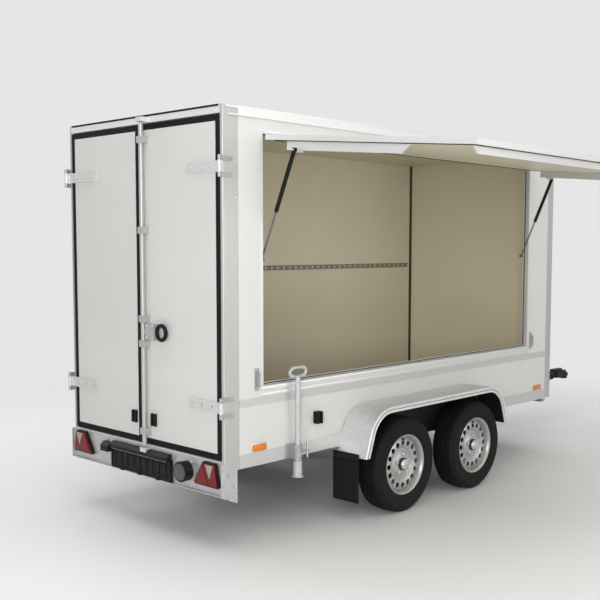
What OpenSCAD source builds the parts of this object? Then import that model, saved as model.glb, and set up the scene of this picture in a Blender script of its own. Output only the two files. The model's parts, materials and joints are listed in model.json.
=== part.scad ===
// Tandem-axle food trailer: a white panel box with a long serving flap on its right side
// and two rear doors, on a galvanised chassis with a V drawbar.
// Design frame: x runs forward from the rear face, y to the left from the middle, z up from the ground.
// The finished part is moved once, so that its origin is the centre of the tow ball.

/* [Box] */
// Length of the box over its corner posts
body_l = 3220; // [2900:10:3600]
// Width of the box over its side walls
body_w = 1360; // [1300:10:1600]
// Height of the roof above the ground
roof_z = 2230; // [2150:10:2500]
// Height of the underside of the side sills above the ground
sill_z = 416; // [404:2:440]
// Thickness of the wall panels
wall_t = 30; // [26:1:36]
// Thickness of the roof panel
roof_t = 30; // [20:1:40]
// Thickness of the floor panel
floor_t = 24; // [15:1:30]
// Height of the side sill rails
sill_h = 70; // [60:1:80]
// Height of the lower edge of the waist trim above the ground
waist_z = 728; // [690:2:740]
// Height of the waist trim
waist_h = 40; // [30:1:46]
// Height of the roof rails
rail_h = 50; // [44:1:56]
// Outer radius of the front corner posts
corner_r = 35; // [20:1:40]
// Length of a corner post's leg along the side
post_leg = 100; // [80:1:120]
// Width of a rear corner post as seen from behind
post_rear = 18; // [14:1:24]

/* [Serving hatch] */
// Distance from the rear face to the clear opening
hatch_x = 266; // [240:2:320]
// Distance from the front face to the clear opening
hatch_front = 364; // [300:2:420]
// Height of the lower edge of the clear opening above the ground
hatch_z = 824; // [800:2:900]
// Distance from the roof to the upper edge of the clear opening
hatch_drop = 116; // [100:2:150]
// Width of the frame beside the opening
jamb_w = 24; // [18:1:30]
// Width of the frame above the opening
head_w = 22; // [16:1:26]
// Thickness of the flap
flap_t = 26; // [20:1:28]
// Gap around the closed flap
flap_gap = 6; // [5:0.5:8]
// Angle by which the flap stands open
flap_open = 85; // [75:1:90]
// Distance from the flap's hinge to the gas strut's pin on the flap
strut_arm = 195; // [180:5:220]
// Distance from the upper edge of the opening down to the gas strut's ball stud
strut_drop = 640; // [620:5:680]

/* [Rear doors] */
// Height of the bottom of the doorway above the sills' underside
door_lift = 50; // [44:1:60]
// Height of the header over the doors
header_h = 42; // [36:1:50]
// Thickness of the doors
door_t = 30; // [24:1:36]
// Width of the black seal round each door
seal_w = 32; // [24:1:36]
// Gap between a door's seal and the doorway
door_gap = 5; // [5:0.5:8]
// Distance of the door hinge pin behind the rear face
pin_back = 24; // [22:0.5:28]
// Distance of the door hinge pin outside the side face
pin_out = 4; // [2:0.5:6]
// Radius of the door hinge pins
pin_r = 5; // [4:0.5:6]
// Distance of the upper door hinges below the top of the doorway
hinge_top = 258; // [200:2:300]
// Distance of the lower door hinges above the bottom of the doorway
hinge_low = 274; // [200:2:300]
// Length of the door hinge straps
strap_l = 272; // [200:2:300]

/* [Running gear] */
// Distance from the rear face to the rear wheel's centre
axle_x = 1204; // [1150:2:1280]
// Distance between the two axles
axle_gap = 715; // [660:5:760]
// Radius of the tyres
wheel_r = 280; // [270:1:290]
// Width of the tyres
tyre_w = 165; // [145:1:175]
// Radius of the rims over their lips
rim_r = 182; // [176:1:195]
// Distance from the side face to the middle of a wheel
wheel_out = 128; // [124:1:136]
// Radius of the stub axles
stub_r = 20; // [16:1:24]
// Width of the mudguards
guard_w = 215; // [212:1:240]
// Distance of the mudguards' flat top above the tyres
guard_lift = 80; // [70:1:100]

/* [Chassis] */
// Height of the chassis beams
beam_h = 80; // [70:1:90]
// Width of the chassis beams
beam_w = 50; // [40:1:60]
// Distance of each long beam's middle from the side face
beam_in = 220; // [200:5:260]
// Distance from the box's front to the drawbar's apex
apex_l = 960; // [900:5:1020]
// Distance from the drawbar's apex to the tow ball
tow_l = 470; // [440:5:520]
// Height of the tow ball's centre above the ground
ball_z = 350; // [340:1:360]
// Radius of the tow ball
ball_r = 25; // [20:0.5:30]

/* [Stands] */
// Distance from the rear face to the rear prop stands
stand_x = 470; // [440:5:500]
// Radius of the prop stand's tube
stand_r = 15; // [13:0.5:17]
// Height of the raised stand's foot above the ground
stand_up = 326; // [300:2:330]
// Distance from the stand's foot to the middle of its ring handle
stand_l = 556; // [500:2:600]
// Radius of the jockey wheel
jockey_r = 100; // [90:1:104]
// Radius of the jockey wheel's post
jockey_tube_r = 30; // [24:0.5:34]

/* [Light board] */
// Height of the light board's lower edge above the ground
board_z = 290; // [280:2:300]
// Thickness of the light board's sheet
board_t = 4; // [3:0.5:6]
// Width of a tail lamp at its foot
lamp_w = 196; // [180:2:206]
// Height of a tail lamp
lamp_h = 125; // [110:1:130]
// Length of the number plate holder
plate_l = 540; // [500:5:560]
// Height of the number plate holder
plate_h = 118; // [100:1:122]
// Distance between the number plate's screw holes
plate_pitch = 300; // [200:5:400]

/* [Hidden] */
$fn = 64;

// Half widths and levels that many pieces share
half_w = body_w / 2;
wall_in = half_w - wall_t;
sill_top = sill_z + sill_h;
waist_top = waist_z + waist_h;
rail_z = roof_z - rail_h;
deck_drop = 26;
frame_top = sill_top - floor_t - deck_drop;
frame_bot = frame_top - beam_h;
floor_top = frame_top + floor_t;
run_gap = 0.05;
eps = 0.01;
trim_proud = 3;
edge_r = 8;
white = "white";
alloy = "silver";
galv = "lightgrey";
black = "black";

// Serving hatch
hatch_x1 = body_l - hatch_front;
hatch_l = hatch_x1 - hatch_x;
hatch_top = roof_z - hatch_drop;
hatch_h = hatch_top - hatch_z;
hatch_hinge_out = 9;
hatch_pin_r = 4;
knuckle_r = 8;
knuckle_l = 120;
leaf_t = 4;
hatch_hinge_y = -half_w - hatch_hinge_out;
hatch_hinge_z = hatch_top;
stop_w = 12;
stop_t = 8;
frame_deep = wall_t + 10;
flap_edge = 30;
flap_len = hatch_h - 2 * flap_gap;
rib_deep = 46;
rib_t = 14;
rib_in = 52;
rib_start = 118;
rib_reach = 0.7 * flap_len;
strut_in = 30;
strut_half = 12;
strut_deep = flap_t + 44;
strut_eye_r = strut_half - 2;
strut_clear = 5;
strut_lower_in = flap_t + strut_eye_r + strut_clear;
strut_cyl_l = 330;
strut_r = 11;
strut_rod_r = 5;
strut_pin_r = 5;
strut_cap = 34;
stud_r = 8;
// Place of the strut's upper pin from the hatch hinge with the flap open
strut_pin_y = (hatch_hinge_out + strut_deep) * cos(flap_open) - strut_arm * sin(flap_open);
strut_pin_z = -(hatch_hinge_out + strut_deep) * sin(flap_open) - strut_arm * cos(flap_open);
strut_z = hatch_top - strut_drop;
strut_dy = -half_w + strut_lower_in - hatch_hinge_y - strut_pin_y;
strut_dz = strut_z - hatch_hinge_z - strut_pin_z;
strut_l = sqrt(strut_dy * strut_dy + strut_dz * strut_dz);
strut_tilt = atan2(strut_dy, -strut_dz);
// Length of the strut with the flap shut
strut_shut_y = strut_deep - strut_lower_in;
strut_shut_z = strut_drop - strut_arm;
strut_shut = sqrt(strut_shut_y * strut_shut_y + strut_shut_z * strut_shut_z);
latch_w = 28;
latch_h = 116;

// Rear doors
door_z = sill_z + door_lift;
door_top = roof_z - header_h;
door_h = door_top - door_z;
door_y = half_w - post_rear;
door_hinge_y = half_w + pin_out;
hinge_hi = door_top - hinge_top;
hinge_lo = door_z + hinge_low;
mid_gap = 8;
seal_front = 2;
seal_back = 5;
strap_h = 56;
strap_t = 7;
strap_lift = 5;
strap_root = 14;
barrel_r = 9;
knuckle_h = 24;
leaf_l = 60;
bar_r = 13;
bar_back = 24;
bar_in = 46;
bar_mid = -mid_gap / 2 - bar_in;
handle_up = 620;
handle_z = door_z + handle_up;
loop_out = 158;
loop_r = 46;
loop_hole_r = 30;
catch_z = sill_top + 90;
catch_h = 66;
catch_w = 12;
catch_half = 13;
catch_side_x = 656;
catch_side_out = 38;
catch_door_out = 16;
catch_left_y = 62;
catch_right_y = 112;

// Running gear
guard_back = 10;
guard_mid = axle_x + axle_gap / 2 - guard_back;
guard_over = 364;
guard_half = axle_gap / 2 + guard_over;
guard_z = 2 * wheel_r + guard_lift;
guard_tall = 265;
guard_bot = guard_z - guard_tall;
guard_slope = 224;
guard_t = 4;
guard_lip = 34;
guard_round = 190;
flap_drop = 256;
mud_flap_t = 5;
mud_flap_in = 25;
mud_flap_w = 190;
arm_l = 150;
arm_t = 40;
tube_s = 60;
tube_z = frame_bot - tube_s / 2;
drum_r = 118;
drum_w = 70;
hub_r = 36;
hub_out = 58;
rim_seat = rim_r - 17;
rim_wall = 7;
disc_t = 8;
disc_out = 40;
disc_dip = 32;
disc_edge = 44;
vent_count = 16;
vent_r = 9;
vent_l = 6;
vent_at = 122;
stub_end = 36;

// Front end
frame_inset = 40;
frame_front = body_l - frame_inset;
apex_x = body_l + apex_l;
ball_x = apex_x + tow_l;
bar_top = sill_z - 2;
tow_z = (bar_top + frame_bot) / 2;
apex_w = 2 * beam_w - 10;
apex_side = 20;
apex_t = 10;
housing_l = 160;
housing_w = 90;
housing_x = apex_x + apex_t;
housing_top = tow_z + 42;
housing_side = housing_w / 2;
coupling_l = 160;
bar_outer_y = half_w - beam_in + beam_w / 2;
bar_slope = (bar_outer_y - apex_w / 2) / (apex_x - frame_front);
bar_len = sqrt(1 + bar_slope * bar_slope);
jockey_back = 480;
jockey_off = 95;
jockey_face_x = apex_x - jockey_back;
jockey_face_y = bar_outer_y - bar_slope * (jockey_face_x - frame_front);
jockey_mid_x = jockey_face_x + jockey_off * bar_slope / bar_len;
jockey_y = jockey_face_y + jockey_off / bar_len;
jockey_w = 64;
jockey_foot = 2 * jockey_r + 50;
jockey_trail = 30;
jockey_top = bar_top + 338;
jockey_pin_r = 12;
jockey_axle_r = 10;
stand_out = 46;
stand_y = half_w + stand_out;
stand_foot_t = 6;
ring_half = 36;
ring_r = 24;
ring_wire = 6;
sleeve_r = stand_r + 9;
sleeve_h = 80;
stand_foot_r = 32;
ring_z = stand_up + stand_l;
clamp_t = 8;
clamp_tall = 80;
clamp_half = 50;
clamp_neck = 18;

// Rear board
board_top = door_z - 6;
board_rim = 16;
end_plate_l = 85;
end_plate_drop = 46;
lamp_t = 16;
lamp_in = 22;
lamp_y1 = half_w - lamp_in;
lamp_y0 = lamp_y1 - lamp_w;
lamp_z = board_z + 40;
lamp_cut_out = 22;
lamp_cut_in = 64;
plate_z = board_z + board_t + 2;
plate_t = 18;
plate_hole_r = 3;
fog_r = 52;
fog_t = 50;
fog_gap = 22;
fog_y = lamp_y0 - fog_gap - fog_r;
plate_gap = 10;
plate_mid = max(0, plate_l / 2 + plate_gap + fog_r - fog_y);
fog_z = board_z + 90;
marker_l = 96;
marker_h = 42;
marker_t = 20;
marker_in = 178;
marker_up = 4;

// Moves everything from the design frame to the tow ball
module placed() {
    translate([-ball_x, 0, -ball_z]) children();
}

// One copy on each side
module both_sides() {
    children();
    mirror([0, 1, 0]) children();
}

// One copy at each end of the hatch, with the front one turned round
module both_ends() {
    children();
    translate([hatch_x + hatch_x1, 0, 0]) mirror([1, 0, 0]) children();
}

// Block given by its lowest and highest corners
module block(lo, hi) {
    translate(lo) cube(hi - lo);
}

// Round bar along y
module bar_y(r, y0, y1) {
    translate([0, y0, 0]) rotate([-90, 0, 0]) cylinder(r = r, h = y1 - y0);
}

// Round bar along x
module bar_x(r, x0, x1) {
    translate([x0, 0, 0]) rotate([0, 90, 0]) cylinder(r = r, h = x1 - x0);
}

// Plate of thickness t from x on, drawn by its outline in y and z
module plate_yz(x, t, points) {
    translate([x, 0, 0]) rotate([90, 0, 90]) linear_extrude(t) polygon(points);
}

// Plate of thickness t below y, drawn by its outline in x and z
module plate_xz(y, t, points) {
    translate([0, y, 0]) rotate([90, 0, 0]) linear_extrude(t) polygon(points);
}

// Chassis: long beams, cross members and outriggers
module chassis_frame() {
    rear_x = wall_t + 20;
    cross = [rear_x, axle_x - arm_l, axle_x + axle_gap + 2 * arm_l, frame_front - beam_w];
    beam_y = half_w - beam_in;
    cross_up = 10;
    arm_up = 25;
    color(galv) placed() {
        both_sides()
            block([rear_x, beam_y - beam_w / 2, frame_bot], [frame_front, beam_y + beam_w / 2, frame_top]);
        for (x = cross)
            block([x, -beam_y, frame_bot + cross_up], [x + beam_w, beam_y, frame_top]);
        both_sides() for (x = cross)
            block([x, beam_y, frame_bot + arm_up], [x + beam_w, wall_in, frame_top]);
    }
}

// V drawbar from the front cross member, closed at its apex by a plate
module drawbar() {
    root_x = frame_front;
    apex_y = apex_w / 2;
    inner_y = bar_outer_y - beam_w * bar_len;
    color(galv) placed() {
        translate([0, 0, frame_bot]) linear_extrude(bar_top - frame_bot)
            polygon([
                [root_x, bar_outer_y], [apex_x, apex_y], [apex_x, -apex_y], [root_x, -bar_outer_y],
                [root_x, -inner_y], [root_x + inner_y / bar_slope, 0], [root_x, inner_y]
            ]);
        block([apex_x - eps, -apex_y - apex_side, frame_bot], [apex_x + apex_t, apex_y + apex_side, bar_top]);
    }
}

// Overrun housing on the apex plate, with its bellows and drawtube
module overrun_device() {
    x1 = housing_x + housing_l;
    rings = 5;
    ring = 18;
    bellows_in = 30;
    bellows_out = 38;
    tube_r = 22;
    color("dimgrey") placed() {
        block([housing_x, -housing_side, frame_bot], [x1, housing_side, housing_top]);
        translate([0, 0, tow_z]) {
            bar_x(tube_r, x1 - 1, ball_x - coupling_l);
            for (i = [0 : rings - 1])
                translate([x1 + i * ring, 0, 0]) rotate([0, 90, 0]) rotate_extrude()
                    polygon([[0, 0], [bellows_in, 0], [bellows_out, ring / 2], [bellows_in, ring], [0, ring]]);
        }
    }
}

// Ball coupling with an open socket below and a lifting handle on top
module coupling_head() {
    wall = 10;
    socket_r = ball_r + wall;
    skirt = 12;
    dome = 12;
    tail = ball_x - coupling_l;
    side = 30;
    handle_z0 = tow_z + 24;
    handle_z1 = tow_z + 50;
    handle_half = 22;
    handle_back = 40;
    handle_short = 60;
    nose_half = 18;
    nose_out = 22;
    dome_z = tow_z + 8;
    color(black) placed() difference() {
        union() {
            translate([ball_x, 0, ball_z - skirt]) cylinder(r = socket_r, h = dome_z - ball_z + skirt);
            translate([ball_x, 0, dome_z]) cylinder(r1 = socket_r, r2 = wall, h = dome);
            block([tail, -side, tow_z - side], [ball_x, side, tow_z + side]);
            block([tail - handle_back, -handle_half, handle_z0],
                  [ball_x - handle_short, handle_half, handle_z1]);
            block([ball_x + socket_r - dome, -nose_half, ball_z + 4],
                  [ball_x + socket_r + nose_out, nose_half, dome_z - 10]);
        }
        translate([ball_x, 0, ball_z]) sphere(r = ball_r + run_gap);
        translate([ball_x, 0, ball_z - skirt - 1]) cylinder(r = ball_r + run_gap, h = skirt + 1);
    }
}

// Parking brake lever beside the overrun housing
module handbrake_lever() {
    lean = 18;
    quadrant_half = 50;
    quadrant_in = 8;
    pivot_r = 24;
    x0 = housing_x + housing_l / 2;
    quadrant_t = 8;
    lever_l = 300;
    lever_half = 14;
    lever_t = 12;
    pivot_w = 22;
    grip_r = 17;
    grip_l = 120;
    color("grey") placed() {
        block([x0 - quadrant_half, housing_side, frame_bot + quadrant_in],
              [x0 + quadrant_half, housing_side + quadrant_t, housing_top - quadrant_in]);
        translate([x0, housing_side + quadrant_t, tow_z]) {
            bar_y(pivot_r, 0, pivot_w);
            translate([0, pivot_w / 2, 0]) rotate([0, -lean, 0]) {
                block([-lever_half, -lever_t / 2, 0], [lever_half, lever_t / 2, lever_l]);
                translate([0, 0, lever_l - 1]) cylinder(r = grip_r, h = grip_l);
            }
        }
    }
}

// Two torsion axles with trailing arms, back plates and stub axles
module axles() {
    arm_y = half_w + wheel_out - tyre_w / 2 - arm_t - 16;
    back_plate_t = 6;
    color("dimgrey") placed() for (x = [axle_x, axle_x + axle_gap]) {
        tube_x = x + arm_l;
        block([tube_x - tube_s / 2, -arm_y, tube_z - tube_s / 2],
              [tube_x + tube_s / 2, arm_y, tube_z + tube_s / 2]);
        both_sides() {
            hull() {
                translate([tube_x, arm_y, tube_z]) bar_y(38, 0, arm_t, $fn = 32);
                translate([x, arm_y, wheel_r]) bar_y(40, 0, arm_t, $fn = 32);
            }
            translate([x, arm_y, wheel_r]) {
                bar_y(stub_r, 0, half_w + wheel_out + stub_end - arm_y);
                bar_y(drum_r, arm_t - 1, arm_t + back_plate_t);
            }
        }
    }
}

// Floor panel between the sills
module floor() {
    color("saddlebrown") placed()
        block([wall_t, -wall_in, frame_top], [body_l - wall_t, wall_in, floor_top]);
}

// Boards below the waist trim: left, right and front
module lower_walls() {
    color(white) placed() {
        both_sides()
            block([post_leg, wall_in, sill_top], [body_l - post_leg, half_w, waist_z]);
        block([body_l - wall_t, -half_w + post_leg, sill_top], [body_l, half_w - post_leg, waist_z]);
    }
}

// Panels above the waist trim; the right one is cut for the hatch
module upper_walls() {
    color(white) placed() {
        block([post_leg, wall_in, waist_top], [body_l - post_leg, half_w, rail_z]);
        block([body_l - wall_t, -half_w + post_leg, waist_top], [body_l, half_w - post_leg, rail_z]);
        difference() {
            block([post_leg, -half_w, waist_top], [body_l - post_leg, -wall_in, rail_z]);
            block([hatch_x - jamb_w, -half_w - 1, waist_top - 1],
                  [hatch_x1 + jamb_w, -wall_in + 1, hatch_top + head_w]);
        }
    }
}

// Roof panel between the roof rails
module roof() {
    color(white) placed()
        block([wall_t, -wall_in, roof_z - roof_t], [body_l - wall_t, wall_in, roof_z]);
}

// Bar of the given legs along x and y with one rounded outer edge
module rounded_leg(leg_x, leg_y, r) {
    translate([r, -r]) circle(r = r);
    translate([r, -leg_y]) square([leg_x - r, leg_y]);
    translate([0, -leg_y]) square([leg_x, leg_y - r]);
}

// Posts at the four corners: rebated for the doors at the rear, rounded angles at the front
module corner_posts() {
    color(alloy) placed() both_sides() translate([0, half_w, sill_z]) linear_extrude(roof_z - sill_z) {
        difference() {
            rounded_leg(post_leg, wall_t, edge_r);
            translate([-1, -wall_t - 1]) square([wall_t + 1, wall_t - post_rear + 1]);
        }
        translate([body_l, 0]) mirror([1, 0]) difference() {
            rounded_leg(post_leg, post_leg, corner_r);
            translate([wall_t, -post_leg - 1]) square([post_leg, post_leg - wall_t + 1]);
        }
    }
}

// Rails along the roof's sides and front, and the header over the doors
module roof_rails() {
    color(alloy) placed() {
        both_sides()
            block([post_leg, wall_in, rail_z], [body_l - post_leg, half_w + trim_proud, roof_z]);
        block([body_l - wall_t, -half_w + post_leg, rail_z], [body_l + trim_proud, half_w - post_leg, roof_z]);
        block([0, -door_y, door_top], [wall_t, door_y, roof_z]);
    }
}

// Waist trims and side sills
module side_rails() {
    color(alloy) placed() for (z = [[sill_z, sill_top], [waist_z, waist_top]]) {
        both_sides()
            block([post_leg, wall_in, z[0]], [body_l - post_leg, half_w + trim_proud, z[1]]);
        block([body_l - wall_t, -half_w + post_leg, z[0]], [body_l + trim_proud, half_w - post_leg, z[1]]);
    }
}

// Aluminium frame of the hatch with its stop lip, the fixed hinge knuckles and the strut studs
module hatch_frame() {
    knuckles = floor((hatch_l - knuckle_l) / (2 * knuckle_l));
    stud_half = 30;
    stud_t = 4;
    stud_in = 20;
    color(alloy) placed() {
        difference() {
            block([hatch_x - jamb_w, -half_w, waist_top],
                  [hatch_x1 + jamb_w, -half_w + frame_deep, hatch_top + head_w]);
            block([hatch_x, -half_w - 1, hatch_z], [hatch_x1, -half_w + frame_deep - stop_t, hatch_top]);
            block([hatch_x + stop_w, -half_w, hatch_z + stop_w],
                  [hatch_x1 - stop_w, half_w, hatch_top - stop_w]);
        }
        for (i = [0 : knuckles])
            translate([hatch_x + 2 * i * knuckle_l, hatch_hinge_y, hatch_hinge_z]) {
                bar_x(knuckle_r, 1, knuckle_l - 1);
                block([1, hatch_hinge_out - leaf_t, 0], [knuckle_l - 1, hatch_hinge_out, head_w]);
            }
        translate([0, hatch_hinge_y, hatch_hinge_z]) bar_x(hatch_pin_r, hatch_x + 1, hatch_x1 - 1);
        both_ends() translate([hatch_x, -half_w + strut_lower_in, strut_z]) {
            bar_x(stud_r, 0, strut_in - strut_half - 0.5);
            block([0, frame_deep - stop_t - strut_lower_in, -stud_half], [stud_t, stud_in, stud_half]);
        }
    }
}

// Bottom member of the doorway, and the keepers of the lock bar
module rear_frame() {
    keeper_half = 24;
    keeper_h = 24;
    keeper_out = bar_back + bar_r + 2;
    keeper_gap = 6;
    color(alloy) placed() {
        block([0, -door_y, sill_z], [wall_t, door_y, door_z]);
        block([-keeper_out, bar_mid - keeper_half, door_top + keeper_gap],
              [0, bar_mid + keeper_half, door_top + keeper_gap + keeper_h]);
        block([-keeper_out, bar_mid - keeper_half, board_top - keeper_gap - keeper_h],
              [-board_t, bar_mid + keeper_half, board_top - keeper_gap]);
    }
}

// Fixed halves of the door hinges: leaves on the posts' sides with knuckles and pins
module door_hinge_brackets() {
    reach = strap_h / 2 + 1;
    color(galv) placed() both_sides() for (z = [hinge_lo, hinge_hi])
        translate([-pin_back, door_hinge_y, z]) {
            translate([0, 0, -reach - knuckle_h]) cylinder(r = pin_r, h = 2 * (reach + knuckle_h));
            for (m = [0, 1]) mirror([0, 0, m]) translate([0, 0, reach]) {
                cylinder(r = barrel_r, h = knuckle_h);
                block([0, -pin_out, 0], [pin_back + leaf_l, leaf_t - pin_out, knuckle_h]);
            }
        }
}

// Screw holes for the number plate
module plate_holes() {
    for (y = [plate_mid - plate_pitch / 2, plate_mid + plate_pitch / 2])
        translate([0, y, plate_z + plate_h / 2]) bar_x(plate_hole_r, -board_t - plate_t - 1, 1);
}

// Light board below the doors: a sheet with a rim along its foot and plates at its ends
module light_board() {
    ledge = 36;
    rim_x = -board_t - board_rim;
    color(galv) placed() {
        difference() {
            block([-board_t, -half_w, board_z], [0, half_w, board_top]);
            plate_holes();
        }
        block([rim_x, -half_w, board_z], [ledge, half_w, board_z + board_t]);
        both_sides() plate_xz(half_w, board_t, [
            [rim_x, board_z], [end_plate_l, board_z - end_plate_drop], [end_plate_l, sill_z],
            [0, sill_z], [0, board_top], [rim_x, board_top]
        ]);
    }
}

// Tail lamps at both ends of the light board, narrower at the top
module tail_lamps() {
    z1 = lamp_z + lamp_h;
    nip = 10;
    color("firebrick") placed() both_sides() plate_yz(-board_t - lamp_t, lamp_t, [
        [lamp_y0 + nip, lamp_z], [lamp_y1 - nip, lamp_z], [lamp_y1, lamp_z + nip],
        [lamp_y1 - lamp_cut_out, z1 - nip], [lamp_y1 - lamp_cut_out - nip, z1],
        [lamp_y0 + lamp_cut_in + nip, z1], [lamp_y0 + lamp_cut_in, z1 - nip], [lamp_y0, lamp_z + nip]
    ]);
}

// Blank holder for a number plate, with two screw holes
module plate_holder() {
    color(black) placed() difference() {
        block([-board_t - plate_t, plate_mid - plate_l / 2, plate_z],
              [-board_t, plate_mid + plate_l / 2, plate_z + plate_h]);
        plate_holes();
    }
}

// Round rear fog lamp beside the number plate
module fog_lamp() {
    lens = 10;
    color("grey") placed() translate([-board_t, -fog_y, fog_z]) rotate([0, -90, 0]) {
        cylinder(r = fog_r, h = fog_t - lens);
        translate([0, 0, fog_t - lens - eps]) cylinder(r1 = fog_r - 3, r2 = fog_r - lens, h = lens);
    }
}

// Orange side markers at the four lower corners of the box
module side_markers() {
    z0 = sill_top + marker_up;
    color("orange") placed() both_sides() for (x = [marker_in, body_l - marker_in - marker_l])
        block([x, half_w, z0], [x + marker_l, half_w + marker_t, z0 + marker_h]);
}

// White position lamps at the front
module front_lamps() {
    lamp_r = 28;
    lamp_out = 26;
    from_post = 60;
    up = 60;
    color("ghostwhite") placed() both_sides()
        translate([body_l, half_w - post_leg - from_post, sill_top + up]) bar_x(lamp_r, 0, lamp_out);
}

// Side view of a mudguard, shrunk by the given amount
module guard_outline(inset) {
    foot_r = 0.5;
    skirt = 60;
    hull() for (s = [-1, 1]) {
        translate([s * (guard_half - guard_slope), guard_z - guard_round])
            circle(r = guard_round - inset, $fn = 72);
        for (z = [guard_bot, guard_bot - skirt])
            translate([s * (guard_half - inset), z]) circle(r = foot_r, $fn = 12);
    }
}

// Mudguards over both wheels of a side: a curved sheet with a turned-down outer lip
module mudguards() {
    color(galv) placed() both_sides()
        translate([guard_mid, half_w + trim_proud + guard_w, 0]) rotate([90, 0, 0]) difference() {
            linear_extrude(guard_w) guard_outline(0);
            translate([0, 0, guard_t]) linear_extrude(guard_w) guard_outline(guard_t);
            translate([0, 0, -1]) linear_extrude(guard_w) guard_outline(guard_lip);
            translate([-2 * guard_half, guard_bot - guard_half, -1])
                cube([4 * guard_half, guard_half, guard_w + 2]);
        }
}

// Rubber flaps behind the wheels
module mud_flaps() {
    x1 = guard_mid - guard_half - 1;
    y0 = half_w - mud_flap_in;
    color(black) placed() both_sides()
        block([x1 - mud_flap_t, y0, guard_bot - flap_drop], [x1, y0 + mud_flap_w, guard_bot + 4 * mud_flap_t]);
}

// Catches on the side walls that hold the open doors
module hold_backs() {
    color(black) placed() both_sides() for (s = [-1, 1])
        translate([catch_side_x + s * catch_half, half_w, catch_z])
            block([-catch_w / 2, 0, 0], [catch_w / 2, catch_side_out, catch_h]);
}

// Perforated lashing rail along the inside of the left wall
module lashing_rail() {
    slot = 22;
    pitch = 60;
    up = 906;
    z0 = floor_top + up;
    tall = 34;
    thick = 6;
    border = 9;
    x0 = post_leg + 20;
    x1 = body_l - wall_t - 44;
    count = floor((x1 - x0 - pitch) / pitch);
    color("darkslategrey") placed() difference() {
        block([x0, wall_in - thick, z0], [x1, wall_in, z0 + tall]);
        for (i = [0 : count])
            translate([x0 + (i + 0.5) * pitch - slot / 2, wall_in - thick - 1, z0 + border])
                cube([slot, thick + 2, tall - 2 * border]);
    }
}

// Dark angle profiles in the front corners of the load space
module inner_corners() {
    leg = 40;
    thick = 4;
    x1 = body_l - wall_t;
    z1 = roof_z - roof_t;
    color("darkslategrey") placed() both_sides() difference() {
        block([x1 - leg, wall_in - leg, floor_top], [x1, wall_in, z1]);
        block([x1 - leg - 1, wall_in - leg - 1, floor_top - 1], [x1 - thick, wall_in - thick, z1 + 1]);
    }
}

// Swing latches on the jambs, beside the flap's lower corners
module hatch_latches() {
    z0 = hatch_z - 20;
    base_t = 5;
    lever_t = 17;
    lever_in = 7;
    lever_up = 20;
    gap = 10;
    color("dimgrey") placed() both_ends() translate([hatch_x - jamb_w - gap - latch_w, -half_w, z0]) {
        block([0, -base_t, 0], [latch_w, 0, latch_h]);
        block([lever_in, -base_t - lever_t, lever_up], [latch_w - lever_in, eps - base_t, latch_h - lever_up]);
    }
}

// Clamps that hold the prop stands to the sills
module stand_clamps() {
    z0 = sill_z - 4;
    side = half_w + trim_proud;
    collar = 9;
    screw_r = 7;
    screw_l = 64;
    color(galv) placed() both_sides() difference() {
        union() {
            block([stand_x - clamp_half, side, z0 + 4],
                  [stand_x + clamp_half, side + clamp_t, z0 + clamp_tall]);
            block([stand_x - clamp_neck, side + clamp_t - eps, z0],
                  [stand_x + clamp_neck, stand_y, z0 + clamp_tall]);
            translate([stand_x, stand_y, z0]) cylinder(r = stand_r + collar, h = clamp_tall);
            translate([stand_x, stand_y, z0 + clamp_tall / 2]) bar_x(screw_r, 0, stand_r + screw_l);
        }
        translate([stand_x, stand_y, z0 - 1]) cylinder(r = stand_r + run_gap, h = clamp_tall + 2);
    }
}

// Clamp that holds the jockey wheel's post to the drawbar
module jockey_clamp() {
    tall = bar_top - frame_bot;
    plate_half = 40;
    neck = 24;
    collar = 10;
    screw_r = 8;
    screw_l = 70;
    color(galv) placed() translate([jockey_mid_x, jockey_y, frame_bot]) rotate([0, 0, -atan(bar_slope)])
        difference() {
            union() {
                block([-plate_half, -jockey_off, 0], [plate_half, collar - jockey_off, tall]);
                block([-neck, collar - jockey_off - eps, 0], [neck, 0, tall]);
                cylinder(r = jockey_tube_r + collar, h = tall);
                translate([0, 0, tall / 2]) bar_y(screw_r, 0, jockey_tube_r + screw_l);
            }
            translate([0, 0, -1]) cylinder(r = jockey_tube_r + run_gap, h = tall + 2);
        }
}

// Panel of the left door, inside its seal; the right door is its mirror image
module door_panel() {
    block([0, mid_gap / 2 + seal_w, door_z + door_gap + seal_w],
          [door_t, door_y - door_gap - seal_w, door_top - door_gap - seal_w]);
}

// Seal band round the left door
module door_seal() {
    difference() {
        block([seal_front, mid_gap / 2, door_z + door_gap],
              [door_t - seal_back, door_y - door_gap, door_top - door_gap]);
        block([0, mid_gap / 2 + seal_w, door_z + door_gap + seal_w],
              [door_t, door_y - door_gap - seal_w, door_top - door_gap - seal_w]);
    }
}

// Strap hinges of the left door, and its hold-back plates around the given y
module door_straps(catch_y) {
    tip_y = door_hinge_y - strap_l;
    for (z = [hinge_lo, hinge_hi]) translate([0, 0, z - strap_h / 2]) difference() {
        union() {
            translate([-pin_back, door_hinge_y, 0]) cylinder(r = barrel_r, h = strap_h);
            block([-pin_back, door_hinge_y - strap_root, 0], [-strap_lift, door_hinge_y, strap_h]);
            block([-strap_lift - strap_t, tip_y, 0], [-strap_lift, door_hinge_y, strap_h]);
            block([-strap_lift - eps, tip_y, 0], [0, door_y - door_gap - seal_w, strap_h]);
        }
        translate([-pin_back, door_hinge_y, -1]) cylinder(r = pin_r + run_gap, h = strap_h + 2);
    }
    for (s = [-1, 1]) translate([0, catch_y + s * catch_half, catch_z])
        block([-catch_door_out, -catch_w / 2, 0], [0, catch_w / 2, catch_h]);
}

module left_door() {
    color(white) placed() door_panel();
}

module left_door_seal() {
    color(black) placed() door_seal();
}

module left_door_straps() {
    color(galv) placed() door_straps(catch_left_y);
}

module right_door() {
    color(white) placed() mirror([0, 1, 0]) door_panel();
}

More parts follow.
